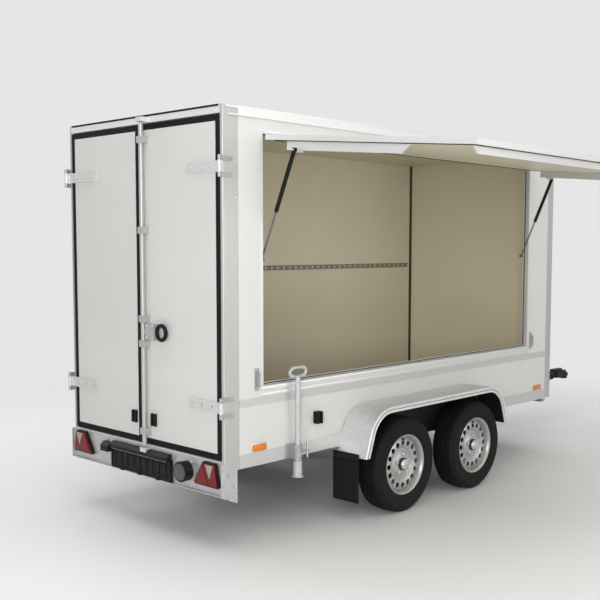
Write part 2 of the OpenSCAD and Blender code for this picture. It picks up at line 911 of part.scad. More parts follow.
module right_door_seal() {
    color(black) placed() mirror([0, 1, 0]) door_seal();
}

module right_door_straps() {
    color(galv) placed() mirror([0, 1, 0]) door_straps(catch_right_y);
}

// Vertical lock bar of the right door with its guides and handle
module lock_bar() {
    guide_w = 30;
    guide_half = 18;
    guide_t = 4;
    guides = [door_z + 78, handle_z - 66, handle_z + 66, door_top - 564, door_top - 88];
    bar_end = 2;
    arm_half = 12;
    arm_t = 6;
    base_y0 = 34;
    base_y1 = 106;
    base_half = 42;
    color(alloy) placed() {
        translate([-bar_back, bar_mid, door_z + bar_end]) cylinder(r = bar_r, h = door_h - 2 * bar_end);
        for (z = guides)
            block([-bar_back - bar_r - guide_t, bar_mid - guide_w, z - guide_half],
                  [0, bar_mid + bar_r + guide_t, z + guide_half]);
        translate([-bar_back, bar_mid, handle_z]) {
            block([-arm_t, loop_hole_r + guide_t - loop_out, -arm_half], [arm_t, 0, arm_half]);
            block([-2 * arm_t, -base_y1, -base_half], [bar_back, -base_y0, base_half]);
            translate([arm_t, -loop_out, 0]) rotate([0, -90, 0]) difference() {
                cylinder(r = loop_r, h = 2 * arm_t);
                translate([0, 0, -1]) cylinder(r = loop_hole_r, h = 2 * arm_t + 2);
            }
        }
    }
}

// Puts what is modelled with the flap closed at its open place
module flap_opened() {
    translate([0, hatch_hinge_y, hatch_hinge_z]) rotate([-flap_open, 0, 0])
        translate([0, -hatch_hinge_y, -hatch_hinge_z]) children();
}

// Flap panel inside its edge frame
module flap_panel() {
    edge = flap_gap + flap_edge;
    color(white) placed() flap_opened()
        block([hatch_x + edge, -half_w, hatch_z + edge],
              [hatch_x1 - edge, -half_w + flap_t, hatch_top - edge]);
}

// Edge frame and hinge knuckles of the flap
module flap_frame() {
    x0 = hatch_x + flap_gap;
    x1 = hatch_x1 - flap_gap;
    z0 = hatch_z + flap_gap;
    z1 = hatch_top - flap_gap;
    knuckles = floor((hatch_l - 2 * knuckle_l) / (2 * knuckle_l));
    color(alloy) placed() flap_opened() difference() {
        union() {
            difference() {
                block([x0, -half_w, z0], [x1, -half_w + flap_t, z1]);
                block([x0 + flap_edge, -half_w - 1, z0 + flap_edge], [x1 - flap_edge, half_w, z1 - flap_edge]);
            }
            for (i = [0 : knuckles])
                translate([hatch_x + (2 * i + 1) * knuckle_l, hatch_hinge_y, hatch_hinge_z]) {
                    bar_x(knuckle_r, 1, knuckle_l - 1);
                    block([1, hatch_hinge_out - leaf_t, -flap_gap - flap_edge],
                          [knuckle_l - 1, hatch_hinge_out, 0]);
                }
        }
        translate([0, hatch_hinge_y, hatch_hinge_z]) bar_x(hatch_pin_r + run_gap, hatch_x - 1, hatch_x1 + 1);
    }
}

// Ribs inside the flap with the strut pins on their brackets
module flap_ribs() {
    y0 = -half_w + flap_t;
    y1 = y0 + rib_deep;
    pin_z = hatch_hinge_z - strut_arm;
    root_z = hatch_hinge_z - rib_start;
    tip_z = hatch_hinge_z - rib_reach;
    pad = 26;
    pad_deep = 12;
    outer_deep = 36;
    outer_z = hatch_z + flap_gap + flap_edge + 10;
    color(alloy) placed() flap_opened() {
        both_ends() {
            plate_yz(hatch_x + rib_in, rib_t, [
                [y0, root_z], [y1, root_z], [y1, tip_z + rib_deep], [y0, tip_z]
            ]);
            block([hatch_x + rib_in, y0, pin_z - pad],
                  [hatch_x + rib_in + rib_t, -half_w + strut_deep + pad_deep, pin_z + pad]);
            translate([0, -half_w + strut_deep, pin_z])
                bar_x(strut_pin_r, hatch_x + strut_in - strut_half, hatch_x + rib_in + 1);
        }
        translate([0, 0, outer_z]) linear_extrude(rib_t) polygon([
            [hatch_x + rib_in, y0], [hatch_x1 - rib_in, y0],
            [hatch_x1 - rib_in - outer_deep, y0 + outer_deep], [hatch_x + rib_in + outer_deep, y0 + outer_deep]
        ]);
    }
}

// Puts what is modelled along -z from a strut's upper pin at its place; m = 1 is the front strut
module strut_placed(m) {
    translate([m * (hatch_x + hatch_x1), hatch_hinge_y + strut_pin_y, hatch_hinge_z + strut_pin_z])
        mirror([m, 0, 0]) translate([hatch_x + strut_in, 0, 0]) rotate([strut_tilt, 0, 0]) children();
}

// Gas strut cylinder with the eye on the flap's pin
module strut_cylinder(m) {
    closed = 20;
    color(black) placed() strut_placed(m) difference() {
        union() {
            bar_x(strut_eye_r, -strut_eye_r, strut_eye_r);
            translate([0, 0, -strut_cyl_l]) cylinder(r = strut_r, h = strut_cyl_l - strut_eye_r + 2);
        }
        bar_x(strut_pin_r + run_gap, -strut_half - 1, strut_half + 1);
        translate([0, 0, -strut_cyl_l - 1]) cylinder(r = strut_rod_r + run_gap, h = strut_cyl_l + 1 - closed);
    }
}

// Gas strut rod with the socket beside the frame's ball stud
module strut_rod(m) {
    color("silver") placed() strut_placed(m) translate([0, 0, -strut_l]) {
        cylinder(r = strut_rod_r, h = strut_shut - strut_cap);
        bar_x(strut_eye_r, -strut_half, strut_eye_r);
    }
}

module rear_strut_cylinder() {
    strut_cylinder(0);
}

module rear_strut_rod() {
    strut_rod(0);
}

module front_strut_cylinder() {
    strut_cylinder(1);
}

module front_strut_rod() {
    strut_rod(1);
}

// Oblong outline of a stand's handle
module ring_outline(r) {
    hull() for (s = [-1, 1]) translate([s * ring_half, 0]) circle(r = r);
}

// Prop stand: a tube with a sleeve, a foot and an oblong handle, raised as for the road
module prop_stand() {
    color(galv) placed() translate([stand_x, stand_y, 0]) {
        translate([0, 0, stand_up]) {
            cylinder(r = stand_r, h = stand_l - ring_r);
            cylinder(r = sleeve_r, h = sleeve_h);
        }
        translate([0, 0, stand_up - stand_foot_t]) cylinder(r = stand_foot_r, h = stand_foot_t + eps);
        translate([0, ring_wire, ring_z]) rotate([90, 0, 0]) linear_extrude(2 * ring_wire) difference() {
            ring_outline(ring_r + ring_wire);
            ring_outline(ring_r - ring_wire);
        }
    }
}

module left_stand() {
    prop_stand();
}

module right_stand() {
    mirror([0, 1, 0]) prop_stand();
}

// Jockey wheel's post with its crank
module jockey_post() {
    crank_l = 120;
    crank_r = 12;
    crank_up = 20;
    crank_t = 14;
    knob_l = 90;
    spigot = 26;
    color(galv) placed() translate([jockey_mid_x, jockey_y, 0]) {
        translate([0, 0, jockey_foot]) cylinder(r = jockey_tube_r, h = jockey_top - jockey_foot);
        translate([0, 0, jockey_top - eps]) cylinder(r = crank_r - 2, h = crank_up + crank_t - 4);
        translate([0, 0, jockey_top + crank_up]) {
            block([-crank_r + 3, -crank_t / 2, 0], [crank_l + 10, crank_t / 2, crank_t]);
            translate([crank_l, 0, 0]) cylinder(r = crank_r, h = knob_l);
        }
        translate([0, 0, jockey_foot - spigot]) cylinder(r = jockey_pin_r, h = spigot + 1);
    }
}

// Swivelling fork of the jockey wheel
module jockey_fork() {
    boss_r = 26;
    boss_z = jockey_foot - 24;
    yoke_t = 8;
    cheek_t = 6;
    cheek_half = 24;
    cheek_y = jockey_w / 2 + cheek_t;
    side = cheek_y + cheek_t;
    color(galv) placed() translate([jockey_mid_x, jockey_y, 0]) {
        difference() {
            union() {
                translate([0, 0, boss_z]) cylinder(r = boss_r, h = jockey_foot - 0.5 - boss_z);
                block([-jockey_trail - boss_r, -side, boss_z], [boss_r, side, boss_z + yoke_t]);
            }
            translate([0, 0, boss_z - 1]) cylinder(r = jockey_pin_r + run_gap, h = jockey_foot - boss_z + 2);
        }
        for (m = [0, 1]) mirror([0, m, 0])
            block([-jockey_trail - cheek_half, cheek_y, jockey_r - 20],
                  [-jockey_trail + cheek_half, side, boss_z + yoke_t - 1]);
        translate([-jockey_trail, 0, jockey_r]) bar_y(jockey_axle_r, -side, side);
    }
}

// Jockey wheel with its plain bearing
module jockey_wheel() {
    shoulder = 16;
    band = 24;
    half = jockey_w / 2;
    waist = 8;
    color("dimgrey") placed() translate([jockey_mid_x - jockey_trail, jockey_y, jockey_r]) rotate([90, 0, 0])
        rotate_extrude() difference() {
            union() {
                translate([0, -half]) square([jockey_r - band, jockey_w]);
                translate([jockey_r - band - 1, -half + waist])
                    square([band - waist + 1, jockey_w - 2 * waist]);
                for (s = [-1, 1]) translate([jockey_r - shoulder, s * (half - shoulder)]) circle(r = shoulder);
                translate([jockey_r - shoulder, -half + shoulder]) square([shoulder, jockey_w - 2 * shoulder]);
            }
            square([2 * (jockey_axle_r + run_gap), 2 * jockey_w], center = true);
        }
}

// Puts a wheel modelled on the z axis, outside towards +z, at its place
module wheel_placed(front, side) {
    placed() mirror([0, side, 0]) translate([axle_x + front * axle_gap, half_w + wheel_out, wheel_r])
        rotate([-90, 0, 0]) children();
}

// Pressed steel rim with its dished and vented disc, hub and brake drum
module rim(front, side) {
    half = tyre_w / 2 - 16;
    lip = 8;
    inner = -tyre_w / 2 + 6;
    bead_in = rim_seat - rim_wall;
    boss_r = 2.1 * hub_r;
    dip_r = 2.6 * hub_r;
    color(alloy) wheel_placed(front, side) difference() {
        rotate_extrude() {
            translate([bead_in, -half]) square([rim_wall, 2 * half]);
            for (s = [-1, 1]) translate([bead_in, s * half - lip / 2]) square([rim_r - bead_in, lip]);
            polygon([
                [hub_r - 1, disc_out], [boss_r, disc_out], [dip_r, disc_dip], [bead_in + 1, disc_edge],
                [bead_in + 1, disc_edge + disc_t], [dip_r, disc_dip + disc_t], [boss_r, disc_out + disc_t],
                [hub_r - 1, disc_out + disc_t]
            ]);
            translate([0, inner]) square([hub_r, hub_out - inner]);
            translate([hub_r - 1, inner]) square([drum_r - hub_r, drum_w]);
        }
        translate([0, 0, -tyre_w]) cylinder(r = stub_r + run_gap, h = tyre_w + stub_end + 1);
        for (i = [0 : vent_count - 1])
            rotate(i * 360 / vent_count) translate([vent_at, 0, 0]) {
                block([-vent_r, -vent_l / 2, disc_dip], [vent_r, vent_l / 2, disc_edge + disc_t]);
                for (s = [-1, 1]) translate([0, s * vent_l / 2, disc_dip])
                    cylinder(r = vent_r, h = disc_edge + disc_t - disc_dip, $fn = 16);
            }
    }
}

// Tyre on the rim's seats
module tyre(front, side) {
    half = tyre_w / 2;
    shoulder = 26;
    bead = 20;
    color(black) wheel_placed(front, side) rotate_extrude() {
        translate([rim_seat, -half + bead]) square([wheel_r - rim_seat, tyre_w - 2 * bead]);
        translate([rim_r + 2, -half]) square([wheel_r - shoulder - rim_r - 2, tyre_w]);
        for (s = [-1, 1])
            translate([wheel_r - shoulder, s * (half - shoulder)]) circle(r = shoulder, $fn = 32);
        translate([wheel_r - shoulder, -half + shoulder]) square([shoulder, tyre_w - 2 * shoulder]);
    }
}

module rim_right_rear() {
    rim(0, 1);
}

module tyre_right_rear() {
    tyre(0, 1);
}

module rim_right_front() {
    rim(1, 1);
}

module tyre_right_front() {
    tyre(1, 1);
}

module rim_left_rear() {
    rim(0, 0);
}

module tyre_left_rear() {
    tyre(0, 0);
}

module rim_left_front() {
    rim(1, 0);
}

module tyre_left_front() {
    tyre(1, 0);
}

chassis_frame();
drawbar();
overrun_device();
coupling_head();
handbrake_lever();
axles();
floor();
lower_walls();
upper_walls();
roof();
corner_posts();
roof_rails();
side_rails();
hatch_frame();
rear_frame();
door_hinge_brackets();
light_board();
tail_lamps();
plate_holder();
fog_lamp();
side_markers();
front_lamps();
mudguards();
mud_flaps();
hold_backs();
lashing_rail();
inner_corners();
hatch_latches();
stand_clamps();
jockey_clamp();
left_door();
left_door_seal();
left_door_straps();
right_door();
right_door_seal();
right_door_straps();
lock_bar();
flap_panel();
flap_frame();
flap_ribs();
rear_strut_cylinder();
rear_strut_rod();
front_strut_cylinder();
front_strut_rod();
right_stand();
left_stand();
jockey_post();
jockey_fork();
jockey_wheel();
rim_right_rear();
tyre_right_rear();
rim_right_front();
tyre_right_front();
rim_left_rear();
tyre_left_rear();
rim_left_front();
tyre_left_front();
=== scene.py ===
# %% [markdown]
# # A food trailer, dressed over its solid frame
# The trailer is a white panel box on a galvanised chassis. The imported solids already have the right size
# and place, so this lesson adds what solids lack: finishes, tyre treads, bolts, seals, lenses and rolled
# edges.

# %% Load the frame
import json
import math

import bmesh
import bpy
from mathutils import Matrix, Vector


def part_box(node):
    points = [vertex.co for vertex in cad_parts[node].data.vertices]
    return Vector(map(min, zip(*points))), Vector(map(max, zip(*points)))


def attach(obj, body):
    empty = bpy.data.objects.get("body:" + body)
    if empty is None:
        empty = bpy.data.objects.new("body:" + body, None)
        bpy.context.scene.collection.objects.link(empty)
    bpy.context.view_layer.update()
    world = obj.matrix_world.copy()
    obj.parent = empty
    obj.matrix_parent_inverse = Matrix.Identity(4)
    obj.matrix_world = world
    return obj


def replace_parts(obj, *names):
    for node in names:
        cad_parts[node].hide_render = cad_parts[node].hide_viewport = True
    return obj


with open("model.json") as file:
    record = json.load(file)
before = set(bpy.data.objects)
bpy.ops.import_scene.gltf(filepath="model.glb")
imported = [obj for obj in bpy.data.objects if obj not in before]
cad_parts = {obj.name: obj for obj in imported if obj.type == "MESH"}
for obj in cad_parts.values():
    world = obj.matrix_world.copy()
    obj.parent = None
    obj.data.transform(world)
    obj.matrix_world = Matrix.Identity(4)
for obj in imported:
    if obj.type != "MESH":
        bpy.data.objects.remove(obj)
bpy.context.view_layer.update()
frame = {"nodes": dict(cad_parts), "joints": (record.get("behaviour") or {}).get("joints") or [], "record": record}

scene = bpy.context.scene

# %% [markdown]
# ## Measures
# Most places are read from the boxes of the solids, so that most of the dressing stays on the part if a
# size changes. X runs forward, Y to the trailer's left and Z up, in metres.

# %% Measures of the box
post_low, post_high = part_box("corner_posts")
rear, front = post_low.x, post_high.x
side = post_high.y
sill_low, roof_top = post_low.z, post_high.z
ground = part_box("tyre_right_rear")[0].z
SIDES = (-1.0, 1.0)
REARWARD = (-1.0, 0.0, 0.0)
print("box", round(front - rear, 3), "long,", round(2 * side, 3), "wide, roof", round(roof_top - ground, 3))

# %% [markdown]
# ## Camera
# The picture is taken from behind and to the right, a little above the middle of the box. The camera's axes
# are built from its heading, tilt and roll. The small lens shift says that the picture is a crop of a wider
# one.

# %% Camera
CAMERA_BACK, CAMERA_RIGHT, CAMERA_UP = 2.959, 4.137, 1.553
HEADING, TILT, ROLL = math.radians(42.608), math.radians(-4.571), math.radians(0.177)
LENS_MM, SENSOR_MM = 55.349, 36.0
SHIFT_X, SHIFT_Y = -0.0562, 0.030


def make_camera():
    data = bpy.data.cameras.new("Camera")
    data.lens = LENS_MM
    data.sensor_width = SENSOR_MM
    data.shift_x = SHIFT_X
    data.shift_y = SHIFT_Y
    camera = bpy.data.objects.new("Camera", data)
    scene.collection.objects.link(camera)
    look = Vector((math.cos(TILT) * math.cos(HEADING), math.cos(TILT) * math.sin(HEADING), math.sin(TILT)))
    right = Vector((math.sin(HEADING), -math.cos(HEADING), 0.0))
    up = right.cross(look)
    rolled_right = right * math.cos(ROLL) + up * math.sin(ROLL)
    rolled_up = up * math.cos(ROLL) - right * math.sin(ROLL)
    turn = Matrix((rolled_right, rolled_up, -look)).transposed().to_4x4()
    camera.matrix_world = Matrix.Translation((rear - CAMERA_BACK, -CAMERA_RIGHT, ground + CAMERA_UP)) @ turn
    scene.camera = camera
    return camera


print("camera at", [round(v, 3) for v in make_camera().location])

# %% [markdown]
# ## Studio
# A pale floor and four large area lamps give the soft light of a photo studio. Large lamps make soft
# shadows; small ones would draw hard lines under the sills. The key lamp stands behind the camera at head
# height, so that its light reaches under the open flap into the kitchen space. The camera can't see the
# lamps.

# %% Lamps
LAMPS = {
    "overhead": ((1.2, -1.4, 5.6), (1.2, -0.4, 0.0), 7.0, 7.0, 235.0),
    "key": ((-4.2, -4.2, 2.1), (0.6, -0.4, 1.2), 3.2, 2.2, 176.0),
    "side strip": ((2.8, -6.4, 1.8), (1.8, 0.0, 1.2), 4.5, 2.2, 74.0),
    "left strip": ((1.0, 5.4, 3.8), (1.6, 0.0, 1.2), 5.0, 2.0, 105.0),
}


def make_lamp(name, place, aim, wide, tall, watts):
    data = bpy.data.lights.new(name, "AREA")
    data.shape = "RECTANGLE"
    data.size = wide
    data.size_y = tall
    data.energy = watts
    lamp = bpy.data.objects.new(name, data)
    lamp.visible_camera = False
    scene.collection.objects.link(lamp)
    stand = Vector((rear, 0.0, ground))
    lamp.location = stand + Vector(place)
    lamp.rotation_euler = (Vector(aim) - Vector(place)).to_track_quat("-Z", "Y").to_euler()


for lamp_name, lamp_values in LAMPS.items():
    make_lamp(lamp_name, *lamp_values)
scene.view_settings.view_transform = "Standard"
print(len(LAMPS), "lamps")

# %% [markdown]
# ## Backdrop and floor
# The world holds two colours: one lights the trailer, and one is what the camera and the reflections see.
# The floor takes the shadow near the trailer and fades into the backdrop further out, so no horizon line
# shows. A curved sheet of paper does the same in a real studio.

# %% Backdrop
AMBIENT, AMBIENT_TINT = 0.31, (1.0, 0.99, 0.98, 1.0)
BACKDROP = (0.79, 0.79, 0.79, 1.0)


def seen_ray(tree, *kinds):
    path = tree.nodes.new("ShaderNodeLightPath")
    seen = path.outputs["Is Camera Ray"]
    for kind in kinds:
        either = tree.nodes.new("ShaderNodeMath")
        either.operation = "MAXIMUM"
        tree.links.new(seen, either.inputs[0])
        tree.links.new(path.outputs[kind], either.inputs[1])
        seen = either.outputs[0]
    return seen


def mix_shaders(tree, share, first, second, out):
    mix = tree.nodes.new("ShaderNodeMixShader")
    for socket, source in zip(mix.inputs, (share, first.outputs[0], second.outputs[0])):
        tree.links.new(source, socket)
    tree.links.new(mix.outputs[0], out.inputs["Surface"])


def make_world():
    world = bpy.data.worlds.new("Studio")
    scene.world = world
    world.use_nodes = True
    tree = world.node_tree
    tree.nodes.clear()
    out = tree.nodes.new("ShaderNodeOutputWorld")
    seen = tree.nodes.new("ShaderNodeBackground")
    seen.inputs["Color"].default_value = BACKDROP
    lit = tree.nodes.new("ShaderNodeBackground")
    lit.inputs["Color"].default_value = AMBIENT_TINT
    lit.inputs["Strength"].default_value = AMBIENT
    share = seen_ray(tree, "Is Glossy Ray", "Is Transmission Ray")
    mix_shaders(tree, share, lit, seen, out)


make_world()
print("backdrop", BACKDROP[0])

# %% Floor
FLOOR_COLOUR = (0.85, 0.85, 0.845, 1.0)
FLOOR_HALF, FLOOR_ROUGH = 40.0, 0.65
FADE_NEAR, FADE_FAR = 2.4, 5.6


def make_floor_finish():
    paint = bpy.data.materials.new("studio_floor")
    paint.use_nodes = True
    tree = paint.node_tree
    shader = tree.nodes["Principled BSDF"]
    shader.inputs["Base Color"].default_value = FLOOR_COLOUR
    shader.inputs["Roughness"].default_value = FLOOR_ROUGH
    reach = tree.nodes.new("ShaderNodeVectorMath")
    reach.operation = "LENGTH"
    tree.links.new(tree.nodes.new("ShaderNodeTexCoord").outputs["Object"], reach.inputs[0])
    fade = tree.nodes.new("ShaderNodeMapRange")
    fade.interpolation_type = "SMOOTHSTEP"
    fade.inputs["From Min"].default_value = FADE_NEAR
    fade.inputs["From Max"].default_value = FADE_FAR
    tree.links.new(reach.outputs["Value"], fade.inputs["Value"])
    share = tree.nodes.new("ShaderNodeMath")
    share.operation = "MULTIPLY"
    tree.links.new(fade.outputs["Result"], share.inputs[0])
    tree.links.new(seen_ray(tree), share.inputs[1])
    far = tree.nodes.new("ShaderNodeEmission")
    far.inputs["Color"].default_value = BACKDROP
    mix_shaders(tree, share.outputs[0], shader, far, tree.nodes["Material Output"])
    return paint


def make_floor():
    bm = bmesh.new()
    bmesh.ops.create_grid(bm, x_segments=1, y_segments=1, size=FLOOR_HALF)
    mesh = bpy.data.meshes.new("studio_floor")
    bm.to_mesh(mesh)
    bm.free()
    mesh.materials.append(make_floor_finish())
    floor = bpy.data.objects.new("studio_floor", mesh)
    floor.location = ((rear + front) / 2, 0.0, ground)
    scene.collection.objects.link(floor)


make_floor()
print("floor at", round(ground, 3))

# %% [markdown]
# ## Shared effects
# Several finishes need the same effect, such as a fine grain or road dust. Each effect is one node group
# with named inputs, so a material places it with its own values. Object coordinates keep a pattern on its
# piece when the piece moves.

# %% Group helper


def new_group(name, inputs, outputs):
    group = bpy.data.node_groups.new(name, "ShaderNodeTree")
    for socket_name, value in inputs.items():
        kind = "NodeSocketVector" if isinstance(value, tuple) else "NodeSocketFloat"
        socket = group.interface.new_socket(socket_name, in_out="INPUT", socket_type=kind)
        socket.default_value = value
    for socket_name in outputs:
        group.interface.new_socket(socket_name, in_out="OUTPUT", socket_type="NodeSocketFloat")
    ends = group.nodes.new("NodeGroupInput"), group.nodes.new("NodeGroupOutput")
    coords = group.nodes.new("ShaderNodeTexCoord").outputs["Object"]
    return group, ends[0].outputs, ends[1].inputs, coords


def set_input(tree, socket, value):
    if isinstance(value, (int, float)):
        socket.default_value = value
    else:
        tree.links.new(value, socket)


def math_node(tree, operation, first, second):
    node = tree.nodes.new("ShaderNodeMath")
    node.operation = operation
    node.use_clamp = operation == "MULTIPLY"
    for socket, value in zip(node.inputs, (first, second)):
        set_input(tree, socket, value)
    return node.outputs[0]


def vector_node(tree, operation, first, second):
    node = tree.nodes.new("ShaderNodeVectorMath")
    node.operation = operation
    tree.links.new(first, node.inputs[0])
    tree.links.new(second, node.inputs[1])
    return node.outputs


def noise_node(tree, vector, scale, detail):
    node = tree.nodes.new("ShaderNodeTexNoise")
    node.inputs["Detail"].default_value = detail
    tree.links.new(vector, node.inputs["Vector"])
    set_input(tree, node.inputs["Scale"], scale)
    return node.outputs["Fac"]


# %% [markdown]
# ### Fine grain
# Coated board, cast plastic and paint are never quite smooth. A fractal noise gives the small height, and a
# much larger noise gives slow changes of tone. An image would do it too, but it would need a file and an
# unwrap.

# %% Fine grain group


def make_fine_grain():
    given_values = {"Scale": 300.0, "Patch Scale": 3.0}
    group, given, out, coords = new_group("Fine Grain", given_values, ("Height", "Patches"))
    for scale_name, out_name, detail in (("Scale", "Height", 3.0), ("Patch Scale", "Patches", 5.0)):
        group.links.new(noise_node(group, coords, given[scale_name], detail), out[out_name])
    return group


FINE_GRAIN = make_fine_grain()
print("group", FINE_GRAIN.name)

# %% [markdown]
# ### Zinc spangle
# Hot-dip zinc freezes in flat crystals a centimetre wide. Voronoi cells have the same shape: each cell
# takes its own tone, and the cell borders give a faint relief.

# %% Zinc spangle group


def make_zinc_spangle():
    group, given, out, coords = new_group("Zinc Spangle", {"Scale": 70.0}, ("Tone", "Relief"))
    cells = group.nodes.new("ShaderNodeTexVoronoi")
    group.links.new(coords, cells.inputs["Vector"])
    group.links.new(given["Scale"], cells.inputs["Scale"])
    split = group.nodes.new("ShaderNodeSeparateColor")
    group.links.new(cells.outputs["Color"], split.inputs[0])
    group.links.new(split.outputs[0], out["Tone"])
    group.links.new(cells.outputs["Distance"], out["Relief"])
    return group


ZINC_SPANGLE = make_zinc_spangle()
print("group", ZINC_SPANGLE.name)

# %% [markdown]
# ### Drawn lines
# Aluminium profiles come out of a die, which leaves fine lines along them. A noise that is stretched along
# the profile gives such lines. The stretch is an input, because rails lie along X and posts stand along Z.

# %% Drawn lines group


def make_drawn_lines():
    group, given, out, coords = new_group("Drawn Lines", {"Stretch": (1.5, 260.0, 260.0)}, ("Tone",))
    scaled = vector_node(group, "MULTIPLY", coords, given["Stretch"])[0]
    group.links.new(noise_node(group, scaled, 1.0, 2.0), out["Tone"])
    return group


DRAWN_LINES = make_drawn_lines()
print("group", DRAWN_LINES.name)

# %% [markdown]
# ### Road dust
# Dust gathers low on a trailer and thins out upwards. The mask falls with height over a given reach and is
# broken up by noise, so that it looks blown on and not painted.

# %% Road dust group


def make_road_dust():
    given_values = {"Ground": 0.0, "Reach": 0.6, "Amount": 0.3}
    group, given, out, coords = new_group("Road Dust", given_values, ("Mask",))
    split = group.nodes.new("ShaderNodeSeparateXYZ")
    group.links.new(coords, split.inputs[0])
    height = math_node(group, "SUBTRACT", split.outputs["Z"], given["Ground"])
    share = math_node(group, "DIVIDE", height, given["Reach"])
    fall = math_node(group, "SUBTRACT", 1.0, share)
    fall = math_node(group, "MAXIMUM", fall, 0.0)
    blown = math_node(group, "MULTIPLY", fall, noise_node(group, coords, 14.0, 6.0))
    group.links.new(math_node(group, "MULTIPLY", blown, given["Amount"]), out["Mask"])
    return group


ROAD_DUST = make_road_dust()
print("group", ROAD_DUST.name)

# %% [markdown]
# ### Inner faces
# The boards are white outside and covered with a beige film inside. Both faces belong to one solid, so a
# mask tells them apart: a face counts as inner where it lies beyond a plane and within the limits of width,
# front and top.

# %% Inner faces group
FAR_OFF = 9.0


def make_inner_faces():
    given_values = {"Facing": (1.0, 0.0, 0.0), "Level": 0.0}
    given_values.update({limit: FAR_OFF for limit in ("Width", "Front", "Top")})
    group, given, out, coords = new_group("Inner Faces", given_values, ("Mask",))
    along = vector_node(group, "DOT_PRODUCT", coords, given["Facing"])["Value"]
    mask = math_node(group, "GREATER_THAN", along, given["Level"])
    split = group.nodes.new("ShaderNodeSeparateXYZ")
    group.links.new(coords, split.inputs[0])
    across = math_node(group, "ABSOLUTE", split.outputs["Y"], 0.0)
    for reach, limit in ((across, "Width"), (split.outputs["X"], "Front"), (split.outputs["Z"], "Top")):
        mask = math_node(group, "MULTIPLY", mask, math_node(group, "LESS_THAN", reach, given[limit]))
    group.links.new(mask, out["Mask"])
    return group


INNER_FACES = make_inner_faces()
print("group", INNER_FACES.name)

# %% [markdown]
# ## Finishes
# A finish is one Principled shader fed by the shared groups. The helpers below place a group with its own
# values, blend two colours by a mask, spread a value over a range, turn a height into a bump and wire the
# results in.

# %% Finish helpers


def place_group(tree, group, **values):
    node = tree.nodes.new("ShaderNodeGroup")
    node.node_tree = group
    for name, value in values.items():
        node.inputs[name.replace("_", " ")].default_value = value
    return node.outputs


def blend(tree, mask, first, second):
    mix = tree.nodes.new("ShaderNodeMix")
    mix.data_type = "RGBA"
    for socket, value in ((mix.inputs[0], mask), (mix.inputs[6], first), (mix.inputs[7], second)):
        if isinstance(value, tuple):
            socket.default_value = value + (1.0,)
        else:
            tree.links.new(value, socket)
    return mix.outputs[2]


def spread(tree, value, low, high):
    node = tree.nodes.new("ShaderNodeMapRange")
    node.inputs["To Min"].default_value = low
    node.inputs["To Max"].default_value = high
    tree.links.new(value, node.inputs["Value"])
    return node.outputs["Result"]


def bump(tree, height, depth, strength=0.6):
    node = tree.nodes.new("ShaderNodeBump")
    node.inputs["Strength"].default_value = strength
    node.inputs["Distance"].default_value = depth
    tree.links.new(height, node.inputs["Height"])
    return node.outputs["Normal"]


def new_finish(name, metallic=0.0, coat=0.0):
    made = bpy.data.materials.new(name)
    made.use_nodes = True
    shader = made.node_tree.nodes["Principled BSDF"]
    shader.inputs["Metallic"].default_value = metallic
    shader.inputs["Coat Weight"].default_value = coat
    return made, made.node_tree, shader.inputs


def wire(tree, sockets, colour, rough, normal):
    tree.links.new(colour, sockets["Base Color"])
    tree.links.new(rough, sockets["Roughness"])
    tree.links.new(normal, sockets["Normal"])


DUST_TONE = (0.36, 0.33, 0.29)


def lay_dust(tree, colour, amount, reach=0.55):
    mask = place_group(tree, ROAD_DUST, Ground=ground, Reach=reach, Amount=amount)["Mask"]
    return blend(tree, mask, colour, DUST_TONE)


# %% [markdown]
# ### White board with a beige inner film
# The walls, roof and doors are coated sandwich boards. Outside they are a cool, slightly uneven white with
# a soft gloss. The mask of the inner faces turns the other side to the warm film of the kitchen space.

# %% White boards
BOARD_WHITE, BOARD_SHADE = (0.735, 0.735, 0.715), (0.67, 0.672, 0.655)
FILM_BEIGE, FILM_SHADE = (0.81, 0.75, 0.565), (0.745, 0.695, 0.535)
SKIN = 0.012
INNER_REACH = {"Level": rear + SKIN, "Width": side - SKIN, "Front": front - SKIN, "Top": roof_top - SKIN}


def film_tone(tree, grain):
    return blend(tree, grain["Patches"], FILM_SHADE, FILM_BEIGE)


def white_board(name, **reach):
    made, tree, sockets = new_finish(name)
    grain = place_group(tree, FINE_GRAIN, Scale=420.0, Patch_Scale=2.2)
    inner = place_group(tree, INNER_FACES, **reach)["Mask"]
    outside = lay_dust(tree, blend(tree, grain["Patches"], BOARD_SHADE, BOARD_WHITE), 0.35, 0.9)
    colour = blend(tree, inner, outside, film_tone(tree, grain))
    rough = spread(tree, grain["Patches"], 0.30, 0.46)
    wire(tree, sockets, colour, rough, bump(tree, grain["Height"], 0.0004, 0.35))
    return made


WALL_BOARD = white_board("wall_board", **INNER_REACH)
DOOR_BOARD = white_board("door_board", Level=rear + SKIN)
print("boards", WALL_BOARD.name, DOOR_BOARD.name)

# %% [markdown]
# ### Flap board
# The serving flap stands open like an awning, so its inner film looks down. The plane of its inner face is
# found by measuring all points of the flap's solid along the tilted direction.

# %% Flap board
flap_joint = next(j for j in frame["joints"] if j["name"] == "flap_hinge")
FLAP_TURN = Matrix.Rotation(-math.radians(flap_joint["range_deg"][1]), 4, "X")
flap_down = FLAP_TURN.to_3x3() @ Vector((0.0, 1.0, 0.0))
flap_depths = [flap_down.dot(corner.co) for corner in frame["nodes"]["flap_panel"].data.vertices]
FLAP_FILM = 0.004
FLAP_BOARD = white_board("flap_board", Facing=tuple(flap_down), Level=max(flap_depths) - FLAP_FILM)
print("flap inner face at", round(max(flap_depths), 3), "along", [round(v, 2) for v in flap_down])

# %% [markdown]
# ### Drawn aluminium
# The posts, rails and frames are pale anodised profiles. A partly metallic shader with fine lines along the
# length keeps them a step crisper than the boards. Where a post or rail shows inside the box, the film
# covers it.

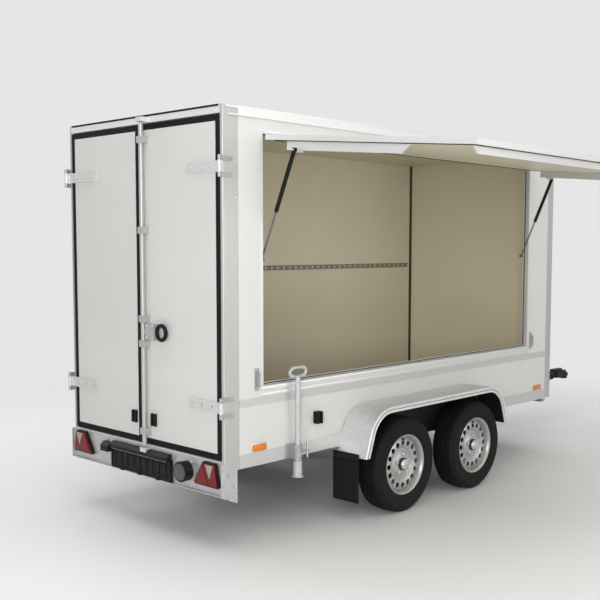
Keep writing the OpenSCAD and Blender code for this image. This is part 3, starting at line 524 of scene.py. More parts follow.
# %% Drawn aluminium
ALONG_X, ALONG_Y, ALONG_Z = (1.2, 240.0, 240.0), (240.0, 1.2, 240.0), (240.0, 240.0, 1.2)
ALLOY_METAL = 0.35


def drawn_alloy(name, stretch, light, shade, covered=False):
    made, tree, sockets = new_finish(name, ALLOY_METAL)
    lines = place_group(tree, DRAWN_LINES, Stretch=stretch)["Tone"]
    grain = place_group(tree, FINE_GRAIN, Scale=90.0, Patch_Scale=5.0)
    tone = blend(tree, lines, shade, light)
    tone = blend(tree, spread(tree, grain["Patches"], 0.0, 0.25), tone, shade)
    colour = lay_dust(tree, tone, 0.4)
    if covered:
        inner = place_group(tree, INNER_FACES, **INNER_REACH)["Mask"]
        colour = blend(tree, inner, colour, film_tone(tree, grain))
        tree.links.new(spread(tree, inner, ALLOY_METAL, 0.0), sockets["Metallic"])
    wire(tree, sockets, colour, spread(tree, lines, 0.30, 0.46), bump(tree, lines, 0.0003, 0.3))
    return made


# Copies of one anodised stock: the uprights and waist rails get darker tones as painted shade, and the roof rails
# a lighter tone as painted light.
UPRIGHT_ALLOY_SHADED = drawn_alloy("upright_alloy_shaded", ALONG_Z, (0.54, 0.54, 0.53), (0.45, 0.45, 0.44), True)
RAIL_ALLOY = drawn_alloy("rail_alloy", ALONG_X, (0.80, 0.80, 0.79), (0.68, 0.68, 0.67))
WAIST_ALLOY_SHADED = drawn_alloy("waist_alloy_shaded", ALONG_X, (0.64, 0.64, 0.63), (0.54, 0.54, 0.53), True)
ROOF_ALLOY_LIT = drawn_alloy("roof_alloy_lit", ALONG_X, (0.84, 0.84, 0.83), (0.76, 0.76, 0.75), True)
CROSS_ALLOY = drawn_alloy("cross_alloy", ALONG_Y, (0.76, 0.76, 0.75), (0.64, 0.64, 0.63))
print("profiles", UPRIGHT_ALLOY_SHADED.name, RAIL_ALLOY.name, CROSS_ALLOY.name)

# %% [markdown]
# ### Hot-dip zinc
# The chassis, mudguards and light board are galvanised. The spangle sets the tone of each crystal, the
# roughness follows it, and low parts carry dust.

# %% Hot-dip zinc


def hot_zinc(name, light, shade, cell_scale, dust):
    made, tree, sockets = new_finish(name, 0.55)
    zinc = place_group(tree, ZINC_SPANGLE, Scale=cell_scale)
    grain = place_group(tree, FINE_GRAIN, Scale=160.0, Patch_Scale=4.0)
    tone = blend(tree, zinc["Tone"], shade, light)
    tone = blend(tree, spread(tree, grain["Patches"], 0.0, 0.45), tone, shade)
    rough = spread(tree, zinc["Tone"], 0.34, 0.52)
    wire(tree, sockets, lay_dust(tree, tone, dust), rough, bump(tree, zinc["Relief"], 0.0006, 0.25))
    return made


SHEET_ZINC = hot_zinc("sheet_zinc", (0.78, 0.79, 0.79), (0.66, 0.675, 0.68), 60.0, 0.3)
BOARD_ZINC = hot_zinc("board_zinc", (0.60, 0.61, 0.61), (0.49, 0.505, 0.51), 60.0, 0.3)
FRAME_ZINC = hot_zinc("frame_zinc", (0.46, 0.475, 0.48), (0.34, 0.355, 0.36), 45.0, 0.6)
print("zinc", SHEET_ZINC.name, FRAME_ZINC.name)

# %% [markdown]
# ### Dark finishes
# Rubber, moulded plastic, painted steel and the film of the floor are all dark, but they differ in gloss
# and in grain. One builder takes two tones, a roughness range and a grain size.

# %% Dark finishes


def grained(name, light, shade, rough, grain_scale, depth, dust=0.2, coat=0.0, metallic=0.0, gloss=0.5):
    made, tree, sockets = new_finish(name, metallic, coat)
    sockets["Specular IOR Level"].default_value = gloss
    grain = place_group(tree, FINE_GRAIN, Scale=grain_scale, Patch_Scale=6.0)
    tone = blend(tree, grain["Patches"], shade, light)
    gloss_map = spread(tree, grain["Patches"], *rough)
    wire(tree, sockets, lay_dust(tree, tone, dust), gloss_map, bump(tree, grain["Height"], depth))
    return made


SOFT_RUBBER = grained("soft_rubber", (0.010, 0.010, 0.010), (0.006, 0.006, 0.006), (0.55, 0.75), 500.0,
                      0.0003, 0.03, gloss=0.15)
TYRE_RUBBER = grained("tyre_rubber", (0.010, 0.0103, 0.0095), (0.006, 0.006, 0.0055), (0.6, 0.8), 380.0,
                      0.0005, 0.03, gloss=0.14)
BLACK_MOULDING = grained("black_moulding", (0.012, 0.012, 0.013), (0.008, 0.008, 0.0085), (0.32, 0.5), 700.0,
                         0.0002, 0.04, gloss=0.14)
# The dark paint also serves as painted shade: the guard groove, the guard's inner skin and the plates behind the
# wheels.
DARK_PAINT_AND_SHADE = grained("dark_paint_and_shade", (0.015, 0.015, 0.016), (0.010, 0.010, 0.0105), (0.35, 0.55), 260.0,
                     0.0003, 0.05, gloss=0.15)
DARK_RAIL = grained("dark_rail", (0.30, 0.275, 0.24), (0.22, 0.20, 0.175), (0.4, 0.55), 300.0, 0.0002, 0.0)
FLOOR_FILM = grained("floor_film", (0.13, 0.085, 0.055), (0.075, 0.048, 0.032), (0.4, 0.6), 120.0,
                     0.0006, 0.0)
print("dark finishes", SOFT_RUBBER.name, BLACK_MOULDING.name, DARK_PAINT_AND_SHADE.name)

# %% [markdown]
# ### Inner corner profiles
# The angle profiles in the front corners are covered with the film of the walls, and only their root shows
# as a dark line. The mask of the inner faces finds what lies further from the corner than the width of that
# line.

# %% Inner corner profiles
CORNER_LINE = 0.018
inner_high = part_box("inner_corners")[1]


def corner_profile(name, light, shade):
    made, tree, sockets = new_finish(name)
    grain = place_group(tree, FINE_GRAIN, Scale=300.0, Patch_Scale=6.0)
    tone = blend(tree, grain["Patches"], shade, light)
    for limit in ({"Width": inner_high.y - CORNER_LINE}, {"Front": inner_high.x - CORNER_LINE}):
        covered = place_group(tree, INNER_FACES, Level=-FAR_OFF, **limit)["Mask"]
        tone = blend(tree, covered, tone, film_tone(tree, grain))
    wire(tree, sockets, tone, spread(tree, grain["Patches"], 0.4, 0.55), bump(tree, grain["Height"], 0.0002))
    return made


CORNER_FILM = corner_profile("corner_film", (0.075, 0.062, 0.055), (0.055, 0.046, 0.040))
print("corner profile", CORNER_FILM.name)

# %% [markdown]
# ### Wheel silver, bolts and rods
# The rims are sprayed silver, with brake dust that dulls them. Bolts are bright steel, and the oiled strut
# rods are darker.

# %% Bright finishes
WHEEL_SILVER = grained("wheel_silver", (0.50, 0.50, 0.495), (0.38, 0.38, 0.375), (0.26, 0.4), 600.0, 0.0002,
                       0.3, coat=0.3, metallic=0.5)
BRIGHT_STEEL = grained("bright_steel", (0.74, 0.75, 0.76), (0.60, 0.61, 0.62), (0.16, 0.3), 300.0, 0.0001,
                       0.1, metallic=0.9)
ROD_STEEL = grained("rod_steel", (0.20, 0.195, 0.19), (0.13, 0.125, 0.12), (0.25, 0.4), 300.0, 0.0001,
                    0.0, metallic=0.6)
print("bright finishes", WHEEL_SILVER.name, BRIGHT_STEEL.name, ROD_STEEL.name)

# %% [markdown]
# ### Lamp lenses
# A lens is coloured clear plastic with fine ribs inside. A thin clear coat gives the gloss, and stretched
# lines give the ribs. Real refraction would cost time and show almost nothing at this size.

# %% Lamp lenses


def ribbed_lens(name, light, shade, stretch):
    made, tree, sockets = new_finish(name, 0.0, 0.1)
    sockets["Specular IOR Level"].default_value = 0.3
    ribs = place_group(tree, DRAWN_LINES, Stretch=stretch)["Tone"]
    rough = spread(tree, ribs, 0.12, 0.26)
    wire(tree, sockets, blend(tree, ribs, shade, light), rough, bump(tree, ribs, 0.0012, 0.5))
    return made


REAR_RIBS, SIDE_RIBS = (60.0, 160.0, 8.0), (160.0, 60.0, 8.0)
RED_LENS = ribbed_lens("red_lens", (0.23, 0.010, 0.010), (0.12, 0.004, 0.004), REAR_RIBS)
ORANGE_LENS = ribbed_lens("orange_lens", (0.80, 0.27, 0.035), (0.62, 0.17, 0.015), SIDE_RIBS)
CLEAR_LENS = ribbed_lens("clear_lens", (0.72, 0.74, 0.75), (0.56, 0.58, 0.60), REAR_RIBS)
FIELD_LENS = ribbed_lens("field_lens", (0.42, 0.40, 0.37), (0.30, 0.28, 0.26), REAR_RIBS)
SMOKED_LENS = ribbed_lens("smoked_lens", (0.10, 0.115, 0.115), (0.055, 0.062, 0.062), REAR_RIBS)
print("lenses", RED_LENS.name, ORANGE_LENS.name, CLEAR_LENS.name, FIELD_LENS.name, SMOKED_LENS.name)

# %% [markdown]
# ### Finishes on the solids
# The record says which stock each solid is made of. A table from stock to finish dresses them all, and a
# second table names the solids that need their own.

# %% Dress the solids
STOCK_FINISH = {
    "white_panel": WALL_BOARD, "alloy": RAIL_ALLOY, "galvanised": FRAME_ZINC, "dark_steel": DARK_PAINT_AND_SHADE,
    "rubber_black": SOFT_RUBBER, "black_plastic": BLACK_MOULDING, "red_lens": RED_LENS,
    "orange_lens": ORANGE_LENS, "clear_lens": CLEAR_LENS, "floor_ply": FLOOR_FILM, "tyre": TYRE_RUBBER,
    "rim_silver": WHEEL_SILVER, "strut_chrome": ROD_STEEL, "dark_profile": DARK_RAIL,
}
OWN_FINISH = {
    "left_door": DOOR_BOARD, "right_door": DOOR_BOARD, "flap_panel": FLAP_BOARD,
    "corner_posts": UPRIGHT_ALLOY_SHADED, "lock_bar": UPRIGHT_ALLOY_SHADED, "rear_frame": CROSS_ALLOY,
    "left_door_straps": CROSS_ALLOY, "right_door_straps": CROSS_ALLOY, "light_board": BOARD_ZINC,
    "mudguards": SHEET_ZINC, "right_stand": BOARD_ZINC, "left_stand": BOARD_ZINC,
    "tail_lamps": BLACK_MOULDING, "side_rails": WAIST_ALLOY_SHADED, "roof_rails": ROOF_ALLOY_LIT,
    "inner_corners": CORNER_FILM,
}


def dress(name, finish):
    node = frame["nodes"][name]
    if not node.material_slots:
        node.data.materials.append(finish)
    for holder in node.material_slots:
        holder.material = finish


for entry in frame["record"]["subparts"]:
    dress(entry["node"], OWN_FINISH.get(entry["node"], STOCK_FINISH[entry["material_slot"]]))

# %% [markdown]
# ## Making pieces
# The dressing is made of a few workshop shapes: turned parts, bent tubes, rounded blocks, flat plates,
# bolts and rivets. Each helper adds its shape to a bmesh, so one piece can hold many bolts and stay a
# single object.

# %% Turned parts


def around(count):
    return [2.0 * math.pi * step / count for step in range(count)]


def add_turned(bm, profile, centre, axis, steps=40):
    axis = Vector(axis).normalized()
    across = axis.orthogonal().normalized()
    other = axis.cross(across)
    rows = []
    for radius, along in profile:
        middle = Vector(centre) + axis * along
        if radius < 1e-6:
            rows.append([bm.verts.new(middle)])
            continue
        spokes = [across * math.cos(a) + other * math.sin(a) for a in around(steps)]
        rows.append([bm.verts.new(middle + spoke * radius) for spoke in spokes])
    for low, high in zip(rows, rows[1:]):
        for step in range(steps):
            after = (step + 1) % steps
            corners = [row[index % len(row)] for row, index in (
                (low, step), (low, after), (high, after), (high, step))]
            bm.faces.new(list(dict.fromkeys(corners)))


# %% Bent tubes


def add_tube(bm, points, radius, sides=10, closed=False):
    points = [Vector(point) for point in points]
    last = len(points) - 1
    rings = []
    normal = None
    for index, point in enumerate(points):
        before = points[index - 1] if closed or index > 0 else point
        after = points[(index + 1) % len(points)] if closed or index < last else point
        along = (after - before).normalized()
        normal = along.orthogonal() if normal is None else normal - along * normal.dot(along)
        normal.normalize()
        other = along.cross(normal)
        spokes = [normal * math.cos(a) + other * math.sin(a) for a in around(sides)]
        rings.append([bm.verts.new(point + spoke * radius) for spoke in spokes])
    pairs = list(zip(rings, rings[1:])) + ([(rings[-1], rings[0])] if closed else [])
    for low, high in pairs:
        for step in range(sides):
            after = (step + 1) % sides
            bm.faces.new((low[step], low[after], high[after], high[step]))
    if not closed:
        bm.faces.new(rings[0])
        bm.faces.new(rings[-1])


def rounded_loop(corners, radius, steps=5):
    points = []
    for index, corner in enumerate(corners):
        corner = Vector(corner)
        back = (Vector(corners[index - 1]) - corner).normalized()
        ahead = (Vector(corners[(index + 1) % len(corners)]) - corner).normalized()
        for step in range(steps + 1):
            share = step / steps
            start, end = corner + back * radius, corner + ahead * radius
            points.append(start * (1 - share) ** 2 + corner * 2 * share * (1 - share) + end * share ** 2)
    return points


def loop_across(x, near, far, low, high, radius):
    return rounded_loop([(x, near, low), (x, far, low), (x, far, high), (x, near, high)], radius)


def loop_along(y, near, far, low, high, radius):
    return rounded_loop([(near, y, low), (far, y, low), (far, y, high), (near, y, high)], radius)


def spaced(first, last, count):
    return [first + step * (last - first) / (count - 1) for step in range(count)]


# %% Rounded blocks and plates


def add_block(bm, low, high, rounding):
    made = bmesh.ops.create_cube(bm, size=1.0)["verts"]
    low, high = Vector(low), Vector(high)
    size, middle = high - low, (high + low) / 2
    for corner in made:
        corner.co = Vector((corner.co.x * size.x, corner.co.y * size.y, corner.co.z * size.z)) + middle
    edges = list(dict.fromkeys(edge for corner in made for edge in corner.link_edges))
    bmesh.ops.bevel(bm, geom=edges, offset=rounding, segments=2, affect="EDGES", profile=0.5)


def add_plate(bm, outline, thickness):
    thickness = Vector(thickness)
    low = [bm.verts.new(Vector(point)) for point in outline]
    high = [bm.verts.new(Vector(point) + thickness) for point in outline]
    bm.faces.new(low)
    bm.faces.new(high)
    for index in range(len(low)):
        after = (index + 1) % len(low)
        bm.faces.new((low[index], low[after], high[after], high[index]))


# %% Bolts and rivets


def add_bolt(bm, place, out, size):
    washer = ((size * 1.3, 0.0), (size * 1.3, size * 0.2), (size * 0.8, size * 0.24))
    head = ((size, size * 0.2), (size, size * 0.75), (size * 0.86, size * 0.88), (0.0, size * 0.88))
    add_turned(bm, washer, place, out, 20)
    add_turned(bm, head, place, out, 6)


def add_rivet(bm, place, out, size):
    dome = ((size, 0.0), (size * 0.85, size * 0.32), (size * 0.5, size * 0.5), (0.0, size * 0.56))
    add_turned(bm, dome, place, out, 10)


# %% [markdown]
# ## From mesh to piece
# A piece gets its mesh, finish, smooth shading with sharp edges and the body that it moves with.

# %% Piece maker


def make_piece(name, bm, finish, body, sharp_deg=35.0):
    bmesh.ops.recalc_face_normals(bm, faces=bm.faces)
    mesh = bpy.data.meshes.new(name)
    bm.to_mesh(mesh)
    bm.free()
    mesh.materials.append(finish)
    mesh.polygons.foreach_set("use_smooth", [True] * len(mesh.polygons))
    mesh.set_sharp_from_angle(angle=math.radians(sharp_deg))
    made = bpy.data.objects.new(name, mesh)
    scene.collection.objects.link(made)
    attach(made, body)
    print(name, len(mesh.polygons), "faces on", body)
    return made


# %% [markdown]
# ## Tyres
# A tyre is a turned carcass with moulded blocks around it. Cutting grooves out of a solid is slow, so the
# carcass is turned at the depth of the grooves and the blocks stand on it. Each row of blocks is set off
# from the next one.

# %% Tyres
WHEEL_CORNERS = ("right_rear", "right_front", "left_rear", "left_front")
BLOCK_ROWS = ((-0.060, -0.036, 0.0), (-0.029, -0.004, 0.5), (0.004, 0.029, 0.0), (0.036, 0.060, 0.5))
BLOCKS_ROUND, BLOCK_SHARE, BLOCK_SKEW, BLOCK_ROOT = 66, 0.80, 0.10, 0.012
CROWN_DROP, CROWN_HALF = 0.004, 0.06
TREAD_UNDER = 0.0005


def tyre_profile(tread, wide):
    half = (
        (tread - 0.114, 0.056), (tread - 0.104, wide - 0.012), (tread - 0.092, wide - 0.0045),
        (tread - 0.084, wide - 0.0035), (tread - 0.082, wide - 0.0015), (tread - 0.078, wide - 0.0015),
        (tread - 0.076, wide - 0.0025), (tread - 0.058, wide), (tread - 0.042, wide - 0.0015),
        (tread - 0.039, wide - 0.0005), (tread - 0.034, wide - 0.001), (tread - 0.032, wide - 0.0035),
        (tread - 0.020, wide - 0.010), (tread - 0.011, wide - 0.018), (tread - 0.0085, wide - 0.024),
    )
    return [(r, -t) for r, t in half] + [(r, t) for r, t in reversed(half)]


def add_tread(bm, middle, tread):
    pitch = 2.0 * math.pi / BLOCKS_ROUND
    for near, far, offset in BLOCK_ROWS:
        for count in range(BLOCKS_ROUND):
            start = (count + offset) * pitch
            corners = []
            for radius in (tread - BLOCK_ROOT, tread):
                for along, skew in ((near, -BLOCK_SKEW), (far, BLOCK_SKEW)):
                    rim_radius = radius - CROWN_DROP * (abs(along) / CROWN_HALF) ** 2
                    for share in (skew, BLOCK_SHARE + skew):
                        angle = start + share * pitch
                        corners.append(bm.verts.new(middle + Vector((
                            rim_radius * math.cos(angle), along, rim_radius * math.sin(angle)))))
            a, b, c, d, e, f, g, h = corners
            for face in ((e, f, h, g), (a, b, f, e), (c, g, h, d), (a, e, g, c), (b, d, h, f)):
                bm.faces.new(face)


def make_tyre(corner):
    low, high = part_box("tyre_" + corner)
    middle, wide = (low + high) / 2, (high.y - low.y) / 2
    tread = (high.z - low.z) / 2 - TREAD_UNDER
    bm = bmesh.new()
    add_turned(bm, tyre_profile(tread, wide), middle, (0.0, 1.0, 0.0), 96)
    add_tread(bm, middle, tread)
    tyre = make_piece("tyre_tread_" + corner, bm, TYRE_RUBBER, "wheel_" + corner, 32.0)
    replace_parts(tyre, "tyre_" + corner)


for tyre_corner in WHEEL_CORNERS:
    make_tyre(tyre_corner)

# %% [markdown]
# ## Wheel rims
# A steel rim is a rolled barrel with a pressed disc in it. The disc has sixteen oval vents. A hole can't be
# turned on a lathe, so each sector of the disc is a patch of faces between its border and the oval. The
# sectors are welded and pulled to a thickness. A dark brake drum behind them makes the vents read as holes.

# %% Rim disc
VENTS, VENT_AT, VENT_WIDE, VENT_TALL = 16, 0.125, 0.0155, 0.0160
SECTOR_STEPS = 6
DISC_SHAPE = ((0.030, 0.048), (0.058, 0.048), (0.066, 0.045), (0.078, 0.033), (0.090, 0.032), (0.101, 0.046),
              (0.107, 0.049), (0.125, 0.051), (0.145, 0.046), (0.152, 0.040), (0.158, 0.037))
BAND_LOW, BAND_HIGH = 0.107, 0.145
DISC_THICK = 0.005


def disc_height(radius):
    for (r0, h0), (r1, h1) in zip(DISC_SHAPE, DISC_SHAPE[1:]):
        if radius <= r1:
            share = (radius - r0) / (r1 - r0)
            return h0 + (h1 - h0) * share
    return DISC_SHAPE[-1][1]


def vent_border(angle):
    half = math.pi / VENTS
    arc = [angle - half + 2 * half * step / SECTOR_STEPS for step in range(SECTOR_STEPS + 1)]
    rise = [BAND_LOW + (BAND_HIGH - BAND_LOW) * step / 4 for step in (1, 2, 3)]
    border = [(BAND_LOW, a) for a in arc] + [(r, arc[-1]) for r in rise]
    return border + [(BAND_HIGH, a) for a in reversed(arc)] + [(r, arc[0]) for r in reversed(rise)]


def add_disc(bm, middle, out):
    def point(radius, angle):
        turn = Vector((math.cos(angle), 0.0, math.sin(angle)))
        return bm.verts.new(middle + turn * radius + out * disc_height(radius))

    steps = VENTS * SECTOR_STEPS
    start = -math.pi / VENTS
    radii = [r for r, h in DISC_SHAPE]
    for r0, r1 in zip(radii, radii[1:]):
        if BAND_LOW <= r0 < BAND_HIGH:
            continue
        for step in range(steps):
            a0, a1 = (start + 2 * math.pi * (step + more) / steps for more in (0, 1))
            bm.faces.new((point(r0, a0), point(r0, a1), point(r1, a1), point(r1, a0)))
    for vent in range(VENTS):
        angle = 2 * math.pi * vent / VENTS
        border = vent_border(angle)
        oval = []
        for radius, turn in border:
            way = math.atan2((radius - VENT_AT) / VENT_TALL, (turn - angle) * radius / VENT_WIDE)
            oval_radius = VENT_AT + VENT_TALL * math.sin(way)
            oval.append((oval_radius, angle + VENT_WIDE * math.cos(way) / oval_radius))
        for index in range(len(border)):
            after = (index + 1) % len(border)
            corners = (border[index], border[after], oval[after], oval[index])
            bm.faces.new([point(*corner) for corner in corners])
    bmesh.ops.remove_doubles(bm, verts=bm.verts, dist=1e-5)
    grown = bmesh.ops.extrude_face_region(bm, geom=bm.faces[:], use_keep_orig=True)["geom"]
    moved = [item for item in grown if isinstance(item, bmesh.types.BMVert)]
    bmesh.ops.translate(bm, verts=moved, vec=-out * DISC_THICK)


# %% Rims and drums
BARREL = (
    (0.1815, 0.0665), (0.1795, 0.0700), (0.1720, 0.0700), (0.1665, 0.0650), (0.1610, 0.0570),
    (0.1590, 0.0450), (0.1580, 0.0200), (0.1565, -0.0580), (0.1620, -0.0660), (0.1795, -0.0700),
    (0.1815, -0.0665), (0.1780, -0.0625), (0.1660, -0.0580), (0.1635, -0.0300), (0.1635, 0.0300),
    (0.1660, 0.0580), (0.1780, 0.0625), (0.1815, 0.0665),
)
DRUM = ((0.0, -0.0765), (0.104, -0.0765), (0.118, -0.0745), (0.118, -0.034), (0.108, -0.030), (0.036, -0.028),
        (0.036, 0.058), (0.0, 0.058))


def wheel_place(corner):
    low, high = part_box("tyre_" + corner)
    return (low + high) / 2, Vector((0.0, -1.0 if "right" in corner else 1.0, 0.0))


def make_rim(corner):
    middle, out = wheel_place(corner)
    bm = bmesh.new()
    add_disc(bm, middle, out)
    add_turned(bm, BARREL, middle, out, 96)
    bmesh.ops.remove_doubles(bm, verts=bm.verts, dist=1e-6)
    rim = make_piece("rim_pressing_" + corner, bm, WHEEL_SILVER, "wheel_" + corner, 32.0)
    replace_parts(rim, "rim_" + corner)
    drum = bmesh.new()
    add_turned(drum, DRUM, middle, out, 64)
    make_piece("brake_drum_" + corner, drum, DARK_PAINT_AND_SHADE, "wheel_" + corner)


for rim_corner in WHEEL_CORNERS:
    make_rim(rim_corner)

# %% [markdown]
# ## Wheel fittings
# The rim gets a rolled edge, five wheel bolts, a pressed hub cap and a rubber valve. They are turned parts
# around the axle, and they ride on the wheel.

# %% Wheel fittings
BOLT_CIRCLE, WHEEL_BOLTS = 0.056, 5
BOSS_OUT, HUB_OUT = 0.048, 0.058
RIM_EDGE, RIM_ROLL, RIM_BACK = 0.180, 0.0045, 0.004
WHEEL_BOLT, FIRST_BOLT = 0.0095, 0.3
HUB_CAP = ((0.031, -0.004), (0.031, 0.010), (0.028, 0.014), (0.018, 0.0165), (0.0, 0.0175))
VALVE_AT, VALVE_OUT, VALVE_WIDE = 0.150, 0.040, 0.004


def make_wheel_fittings(corner):
    low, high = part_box("rim_" + corner)
    middle, out = wheel_place(corner)
    body = "wheel_" + corner
    edge = bmesh.new()
    face = max((high - middle).dot(out), (low - middle).dot(out))
    turns = [math.radians(step * 36.0) for step in range(11)]
    roll = [(RIM_EDGE + RIM_ROLL * math.cos(a), face - RIM_BACK + RIM_ROLL * math.sin(a)) for a in turns]
    add_turned(edge, roll, middle, out, 72)
    make_piece("rim_edge_" + corner, edge, WHEEL_SILVER, body, 60.0)
    bolts = bmesh.new()
    for count in range(WHEEL_BOLTS):
        angle = 2.0 * math.pi * count / WHEEL_BOLTS + FIRST_BOLT
        place = middle + Vector((math.cos(angle), 0.0, math.sin(angle))) * BOLT_CIRCLE + out * BOSS_OUT
        add_bolt(bolts, place, out, WHEEL_BOLT)
    add_turned(bolts, HUB_CAP, middle + out * HUB_OUT, out, 40)
    make_piece("wheel_bolts_" + corner, bolts, BRIGHT_STEEL, body)
    valve = bmesh.new()
    root = middle + Vector((0.0, 0.0, VALVE_AT)) + out * VALVE_OUT
    lean = Vector((0.0, 0.0, -0.003))
    add_tube(valve, (root, root + out * 0.010 + lean, root + out * 0.020 + lean * 2), VALVE_WIDE)
    make_piece("valve_" + corner, valve, SOFT_RUBBER, body)


for wheel_corner in WHEEL_CORNERS:
    make_wheel_fittings(wheel_corner)

# %% [markdown]
# ## Mudguard edges
# The pressed mudguard has a rolled edge that catches the light in two bright lines. The roll follows the
# outline of the guard: up the sloping end, around the shoulder and along the top. Tubes along that path are
# enough, with a dark tube between them as painted shade in the groove. Inside, a black skin between two
# such paths is partly a sprayed-on stone guard and partly painted shade in the guard's hollow. A black
# panel that closes the guard towards the box is painted shade behind the wheels.

# %% Mudguard edges
guard_low, guard_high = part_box("mudguards")
GUARD_SLOPE, GUARD_ROUND = 0.224, 0.190
EDGE_BACK, EDGE_ROLLS = 0.004, ((0.005, 0.0065), (0.030, 0.0055))
GROOVE_INSET, GROOVE_OUT, GROOVE_WIDE = 0.0175, 0.0015, 0.0032
SKIN_OUTER, SKIN_INNER, SKIN_NEAR = 0.0055, 0.0085, 0.010
PANEL_GAP, PANEL_THICK = 0.0004, 0.0025


def guard_path(inset):
    half = (guard_high.x - guard_low.x) / 2 - inset
    middle = (guard_high.x + guard_low.x) / 2
    radius = GUARD_ROUND - inset
    centre = Vector((half + inset - GUARD_SLOPE, guard_high.z - GUARD_ROUND))
    foot = Vector((half, guard_low.z))
    reach = foot - centre
    turn = math.atan2(reach.y, reach.x) + math.acos(radius / reach.length)
    angles = [turn + (math.pi / 2 - turn) * step / 14 for step in range(15)]
    right = [foot] + [centre + Vector((math.cos(a), math.sin(a))) * radius for a in angles]
    points = [(middle + p.x, p.y) for p in right]
    return points + [(middle - p.x, p.y) for p in reversed(right)]


def make_guard_edges():
    for name, sign in (("right", -1.0), ("left", 1.0)):
        bm = bmesh.new()
        outer = sign * (guard_high.y - EDGE_BACK)
        for inset, radius in EDGE_ROLLS:
            add_tube(bm, [(x, outer, z) for x, z in guard_path(inset)], radius, 10)
        make_piece("guard_edge_" + name, bm, SHEET_ZINC, "trailer", 60.0)
        # A near-black tube along the groove between the rolls: painted shade in the recess.
        groove = bmesh.new()
        path = [(x, outer + sign * GROOVE_OUT, z) for x, z in guard_path(GROOVE_INSET)]
        add_tube(groove, path, GROOVE_WIDE, 8)
        make_piece("guard_groove_shade_" + name, groove, DARK_PAINT_AND_SHADE, "trailer", 60.0)


def add_skin(bm, outer, inner, near, far):
    rows = []
    for (x0, z0), (x1, z1) in zip(outer, inner):
        corners = ((x0, near, z0), (x0, far, z0), (x1, far, z1), (x1, near, z1))
        rows.append([bm.verts.new(corner) for corner in corners])
    for low, high in zip(rows, rows[1:]):
        for step in range(4):
            after = (step + 1) % 4
            bm.faces.new((low[step], low[after], high[after], high[step]))
    bm.faces.new(rows[0])
    bm.faces.new(rows[-1])


def make_guard_shade_pieces():
    # Black skin inside each guard: a sprayed stone guard, made black also as painted shade in the hollow.
    bm = bmesh.new()
    for sign in SIDES:
        near, far = sign * (side + SKIN_NEAR), sign * (guard_high.y - SKIN_OUTER)
        add_skin(bm, guard_path(SKIN_OUTER), guard_path(SKIN_INNER), near, far)
    make_piece("guard_shade_skins", bm, DARK_PAINT_AND_SHADE, "trailer", 40.0)
    # A black plate towards the box behind each guard: painted shade behind the wheels.
    panels = bmesh.new()
    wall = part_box("side_rails")[1].y + PANEL_GAP
    for sign in SIDES:
        outline = [(x, sign * wall, z) for x, z in guard_path(SKIN_INNER)]
        add_plate(panels, outline, (0.0, sign * PANEL_THICK, 0.0))
    make_piece("shade_panels", panels, DARK_PAINT_AND_SHADE, "trailer")


make_guard_edges()
make_guard_shade_pieces()

# %% [markdown]
# ## Mud flap clamps
# Each rubber mud flap hangs from a dark steel strip that is bolted through it. A thin border is moulded
# around it.

# %% Mud flap clamps
mud_low, mud_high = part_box("mud_flaps")
MUD_WIDE, MUD_EDGE = 0.190, 0.004
STRIP_THICK, STRIP_BOLT = 0.004, 0.007


def make_mud_flap_clamps():
    strips, borders = bmesh.new(), bmesh.new()
    back = mud_low.x - 0.0005
    for sign in SIDES:
        near, far = sorted((sign * (mud_high.y - MUD_WIDE + MUD_EDGE), sign * (mud_high.y - MUD_EDGE)))
        add_block(strips, (back - STRIP_THICK, near, mud_high.z - 0.034),
                  (back, far, mud_high.z - 0.006), 0.0015)
        for share in (0.12, 0.5, 0.88):
            place = (back - STRIP_THICK, near + (far - near) * share, mud_high.z - 0.020)
            add_bolt(strips, place, REARWARD, STRIP_BOLT)
        border = loop_across(back, near + 0.008, far - 0.008, mud_low.z + 0.010, mud_high.z - 0.044, 0.012)
        add_tube(borders, border, 0.003, 8, True)
    make_piece("mud_flap_strips", strips, DARK_PAINT_AND_SHADE, "trailer")
    make_piece("mud_flap_borders", borders, SOFT_RUBBER, "trailer", 60.0)


make_mud_flap_clamps()

# %% [markdown]
# ## Rivets and edge strips of the box
# The boards are held in the profiles by blind rivets. A rain rail runs under each roof rail, and a dark
# seal closes the rear edge of the roof.

# %% Rivets
rail_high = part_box("side_rails")[1]
RIVET = 0.0045


def make_body_rivets():
    bm = bmesh.new()
    for sign in SIDES:
        out = (0.0, sign, 0.0)
        for x in (rear + 0.084, front - 0.084):
            for z in spaced(sill_low + 0.14, roof_top - 0.10, 10):
                add_rivet(bm, (x, sign * side, z), out, RIVET)
        for x in spaced(rear + 0.16, front - 0.16, 13):
            add_rivet(bm, (x, sign * side, roof_top - 0.020), out, RIVET)
            add_rivet(bm, (x, sign * rail_high.y, rail_high.z - 0.020), out, RIVET)
            add_rivet(bm, (x, sign * rail_high.y, sill_low + 0.052), out, RIVET)
    make_piece("body_rivets", bm, BRIGHT_STEEL, "trailer", 50.0)


make_body_rivets()

# %% Edge strips
roof_rail_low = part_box("roof_rails")[0]
RAIN_OUT, RAIN_WIDE, RAIN_END = 0.004, 0.0055, 0.03
CAP_DEEP, CAP_END = 0.008, 0.02
ROOF_SEAL = 0.0055


